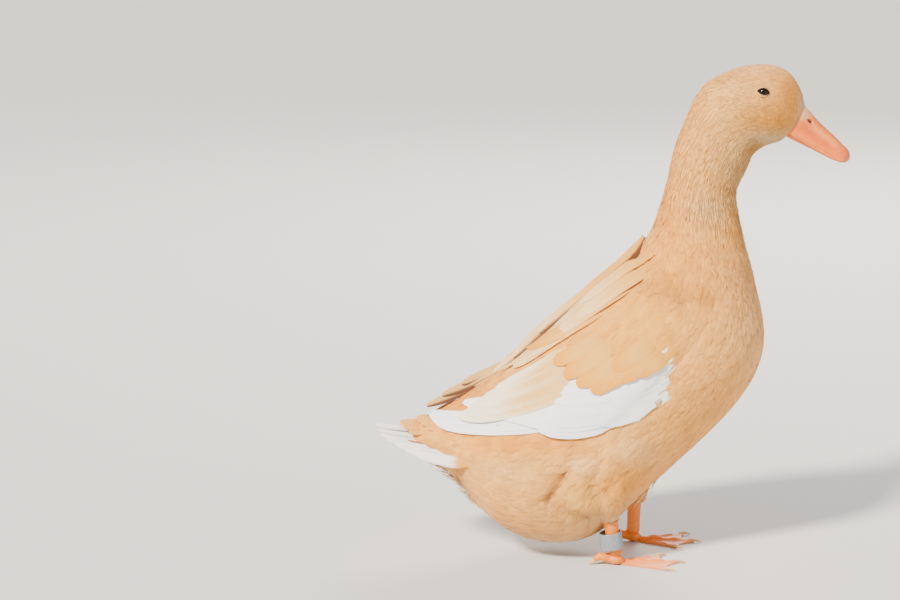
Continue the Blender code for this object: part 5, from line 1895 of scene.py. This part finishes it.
def build_legs(finish, claw_finish):
    """Each bare leg and webbed foot under one scaly skin, with the claws as pieces of their own."""
    for word in SIDES:
        low, high = (leg_point(word, point) for point in LEGS[word][:2])
        base = low * (1.0, 1.0, 0.0)
        rows = sampled([(*mixed(low, high, share), radius) for share, radius in SHANK_SHAPE], SHANK_STATIONS)
        hind = -toe_direction(word, 1.0)
        points, triangles = remeshed(
            (
                foot_sheet(word),
                rod(rows[:, :3], rows[:, 3], ROD_SIDES),
                rod_along(base, hind, HIND_TOE),
                ball(base + ANKLE_BALL[0], ANKLE_BALL[1]),
            ),
            LEG_VOXEL,
            LEG_SMOOTHING,
        )
        points[:, 2] = np.maximum(points[:, 2], 0.0)
        leg = Surface(points, triangles)
        groove = scale_grooves(points, triangles, leg)
        above = smooth_step(0.3, 1.2, points[:, 2])
        points = points - leg.normals * (SCALE_GROOVE * groove * above)[:, None]
        points[:, 2] = np.maximum(points[:, 2], 0.0)
        out = np.linalg.norm((points - base)[:, :2], axis=1)
        web = smooth_step(*WEB_OUT, out) * fading(*WEB_LOW, points[:, 2])
        colour = mixed(LEG_ORANGE, WEB_PINK, web[:, None]) * (1.0 - SCALE_SHADE * groove[:, None])
        piece = make_piece("leg_" + word, points, triangles, finish, "legs", colour)
        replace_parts(piece, "shank_" + word, "foot_" + word)
        claws = []
        for toe, reach in enumerate(TOE_REACH):
            direction = toe_direction(word, toe)
            claws.append(rod_along(base + direction * (reach - CLAW_START), direction, CLAW))
        claws.append(rod_along(base + hind * HIND_CLAW_START, hind, HIND_CLAW))
        points, faces = merged(claws)
        points[:, 2] = np.maximum(points[:, 2], CLAW_FLOOR)
        make_piece("claws_" + word, points, faces, claw_finish, "legs", CLAW_TONE)


BAND_RADIUS = 10.8
BAND_WALL = 1.3
BAND_HALF = 7.9
BAND_AT = (-0.4, 41.1, 24.5)
BAND_TILT = math.radians(-8.0)
BAND_TONE = linear(150, 155, 162)
BAND_ROUND = 0.45
BAND_STEPS = 160
BAND_CORNER = 5
PANEL_TURN = (math.radians(-112.0), math.radians(-40.0))
PANEL_RISE = 0.45
PANEL_BEVEL = 0.03


def build_band(finish):
    """A plain plastic ring with rounded edges and a raised blank panel on its outer side."""
    outline = []
    for k, (sx, sz) in enumerate(((1, -1), (1, 1), (-1, 1), (-1, -1))):
        for turn in np.linspace(0.0, math.pi / 2, BAND_CORNER):
            angle = turn + (k - 1) * math.pi / 2
            across = sx * (BAND_WALL / 2 - BAND_ROUND) + BAND_ROUND * math.cos(angle)
            height = sz * (BAND_HALF - BAND_ROUND) + BAND_ROUND * math.sin(angle)
            outline.append((BAND_RADIUS - BAND_WALL / 2 + across, height, sx > 0))
    points = []
    for i in range(BAND_STEPS):
        angle = math.tau * i / BAND_STEPS
        away = min(abs(angle - math.tau - end) for end in PANEL_TURN)
        on_panel = PANEL_TURN[0] < angle - math.tau < PANEL_TURN[1]
        rise = PANEL_RISE * min(1.0, away / PANEL_BEVEL) if on_panel else 0.0
        for radius, height, outer in outline:
            radius += rise * outer
            points.append((radius * math.cos(angle), radius * math.sin(angle), height))
    turned = np.array(Matrix.Rotation(BAND_TILT, 3, "Y"))
    points = np.array(points) @ turned.T + leg_point("right", BAND_AT)
    faces = grid_faces(BAND_STEPS + 1, len(outline), True) % len(points)
    piece = make_piece("plain_leg_band", points, faces, finish, "band", BAND_TONE, sharp=35)
    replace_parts(piece, "leg_band")


FLOOR_TONE = linear(214, 211, 206)
FLOOR_HALF = 60.0
SKY_TONE = (0.86, 0.92, 1.0, 1.0)
SKY_LEVEL = 0.6
# Lamps, in metres: name, kind, place, size, power, colour
LAMPS = (
    ("key", "SUN", (-1.5, -2.1, 2.4), math.radians(9.0), 8.5, (1.0, 0.95, 0.87)),
    ("fill", "AREA", (2.2, -1.8, 1.2), 1.6, 14.0, (0.96, 0.98, 1.0)),
    ("back", "AREA", (0.6, 2.4, 1.9), 1.6, 90.0, (1.0, 0.98, 0.94)),
)
LAMP_TARGET = (0.0, 0.0, 0.22)


def build_stage():
    """A plain pale floor, soft studio light and a pale surround."""
    corners = [(x * FLOOR_HALF, y * FLOOR_HALF, 0.0) for x, y in ((-1, -1), (1, -1), (1, 1), (-1, 1))]
    mesh = bpy.data.meshes.new("floor")
    mesh.from_pydata(corners, [], [(0, 1, 2, 3)])
    finish = Finish("floor", 0.85)
    mix = finish.add("Mix", data_type="RGBA")
    mix.inputs["A"].default_value = (*FLOOR_TONE, 1.0)
    mix.inputs["B"].default_value = (*(FLOOR_TONE * 0.96), 1.0)
    finish.join(finish.noise(3.0, 3.0, 0.5), "Fac", mix, "Factor")
    finish.join(mix, "Result", finish.main, "Base Color")
    mesh.materials.append(finish.made)
    add_object("floor", mesh)
    world = bpy.data.worlds.new("studio")
    bpy.context.scene.world = world
    world.use_nodes = True
    sky = world.node_tree.nodes["Background"]
    sky.inputs["Color"].default_value = SKY_TONE
    sky.inputs["Strength"].default_value = SKY_LEVEL
    for name, kind, spot, size, power, tint in LAMPS:
        data = bpy.data.lights.new(name, kind)
        data.energy = power
        data.color = tint
        if kind == "SUN":
            data.angle = size
        else:
            data.shape = "DISK"
            data.size = size
        lamp = add_object(name, data)
        lamp.location = spot
        lamp.rotation_euler = (Vector(LAMP_TARGET) - Vector(spot)).to_track_quat("-Z", "Y").to_euler()


def build_camera():
    """The photograph's view: the duck's middle lies right of the picture's centre."""
    data = bpy.data.cameras.new("camera")
    data.sensor_width = SENSOR
    data.lens = LENS_PIXELS * SENSOR / PICTURE[0]
    data.clip_start = 0.05
    data.clip_end = 100.0
    camera = add_object("camera", data)
    back = Vector((0.0, -math.cos(VIEW_ELEVATION), math.sin(VIEW_ELEVATION)))
    camera.location = (Vector(VIEW_CENTRE) + back * VIEW_DISTANCE) * MM
    straight = (-back).to_track_quat("-Z", "Y").to_matrix().to_4x4()
    aside, below = (math.atan((CENTRE_PIXEL[k] - PICTURE[k] / 2) / LENS_PIXELS) for k in (0, 1))
    turned = straight @ Matrix.Rotation(aside, 4, "Y") @ Matrix.Rotation(below, 4, "X")
    camera.rotation_euler = turned.to_euler()
    bpy.context.scene.camera = camera


def main():
    build_camera()
    build_stage()
    plumage = plumage_material("body_plumage", 0.2, 0.11, 0.06, 1.0)
    long_feathers = plumage_material("long_feathers", 0.05, 0.015, 0.015, 0.1, 0.65, 0.05)
    base = build_base()
    build_skin(base, grained_material("skin_under_coat", 0.9, (420.0, 4.0, 0.6), (0.7, 1.1), (0.5, 0.001)))
    build_coat(base, plumage)
    build_wing_feathers(base, long_feathers)
    build_tail_feathers(long_feathers)
    wet = {"Specular_IOR_Level": 0.14, "Coat_Weight": 0.16, "Coat_Roughness": 0.03}
    build_eyes(grained_material("eye", 0.04, (900.0, 2.0, 0.5), (0.7, 1.3), **wet))
    build_lids(base, horn_material("lid_skin", 0.6, 900.0, 0.0003))
    horn = horn_material("bill_skin", 0.36, 240.0, 0.0004, coat=0.3)
    build_upper_bill(horn)
    build_lower_bill(horn)
    leg_skin = horn_material("leg_skin", 0.5, 420.0, 0.0005, coat=0.05)
    build_legs(leg_skin, horn_material("claw", 0.35, 300.0, 0.0002))
    build_band(band_material())


main()
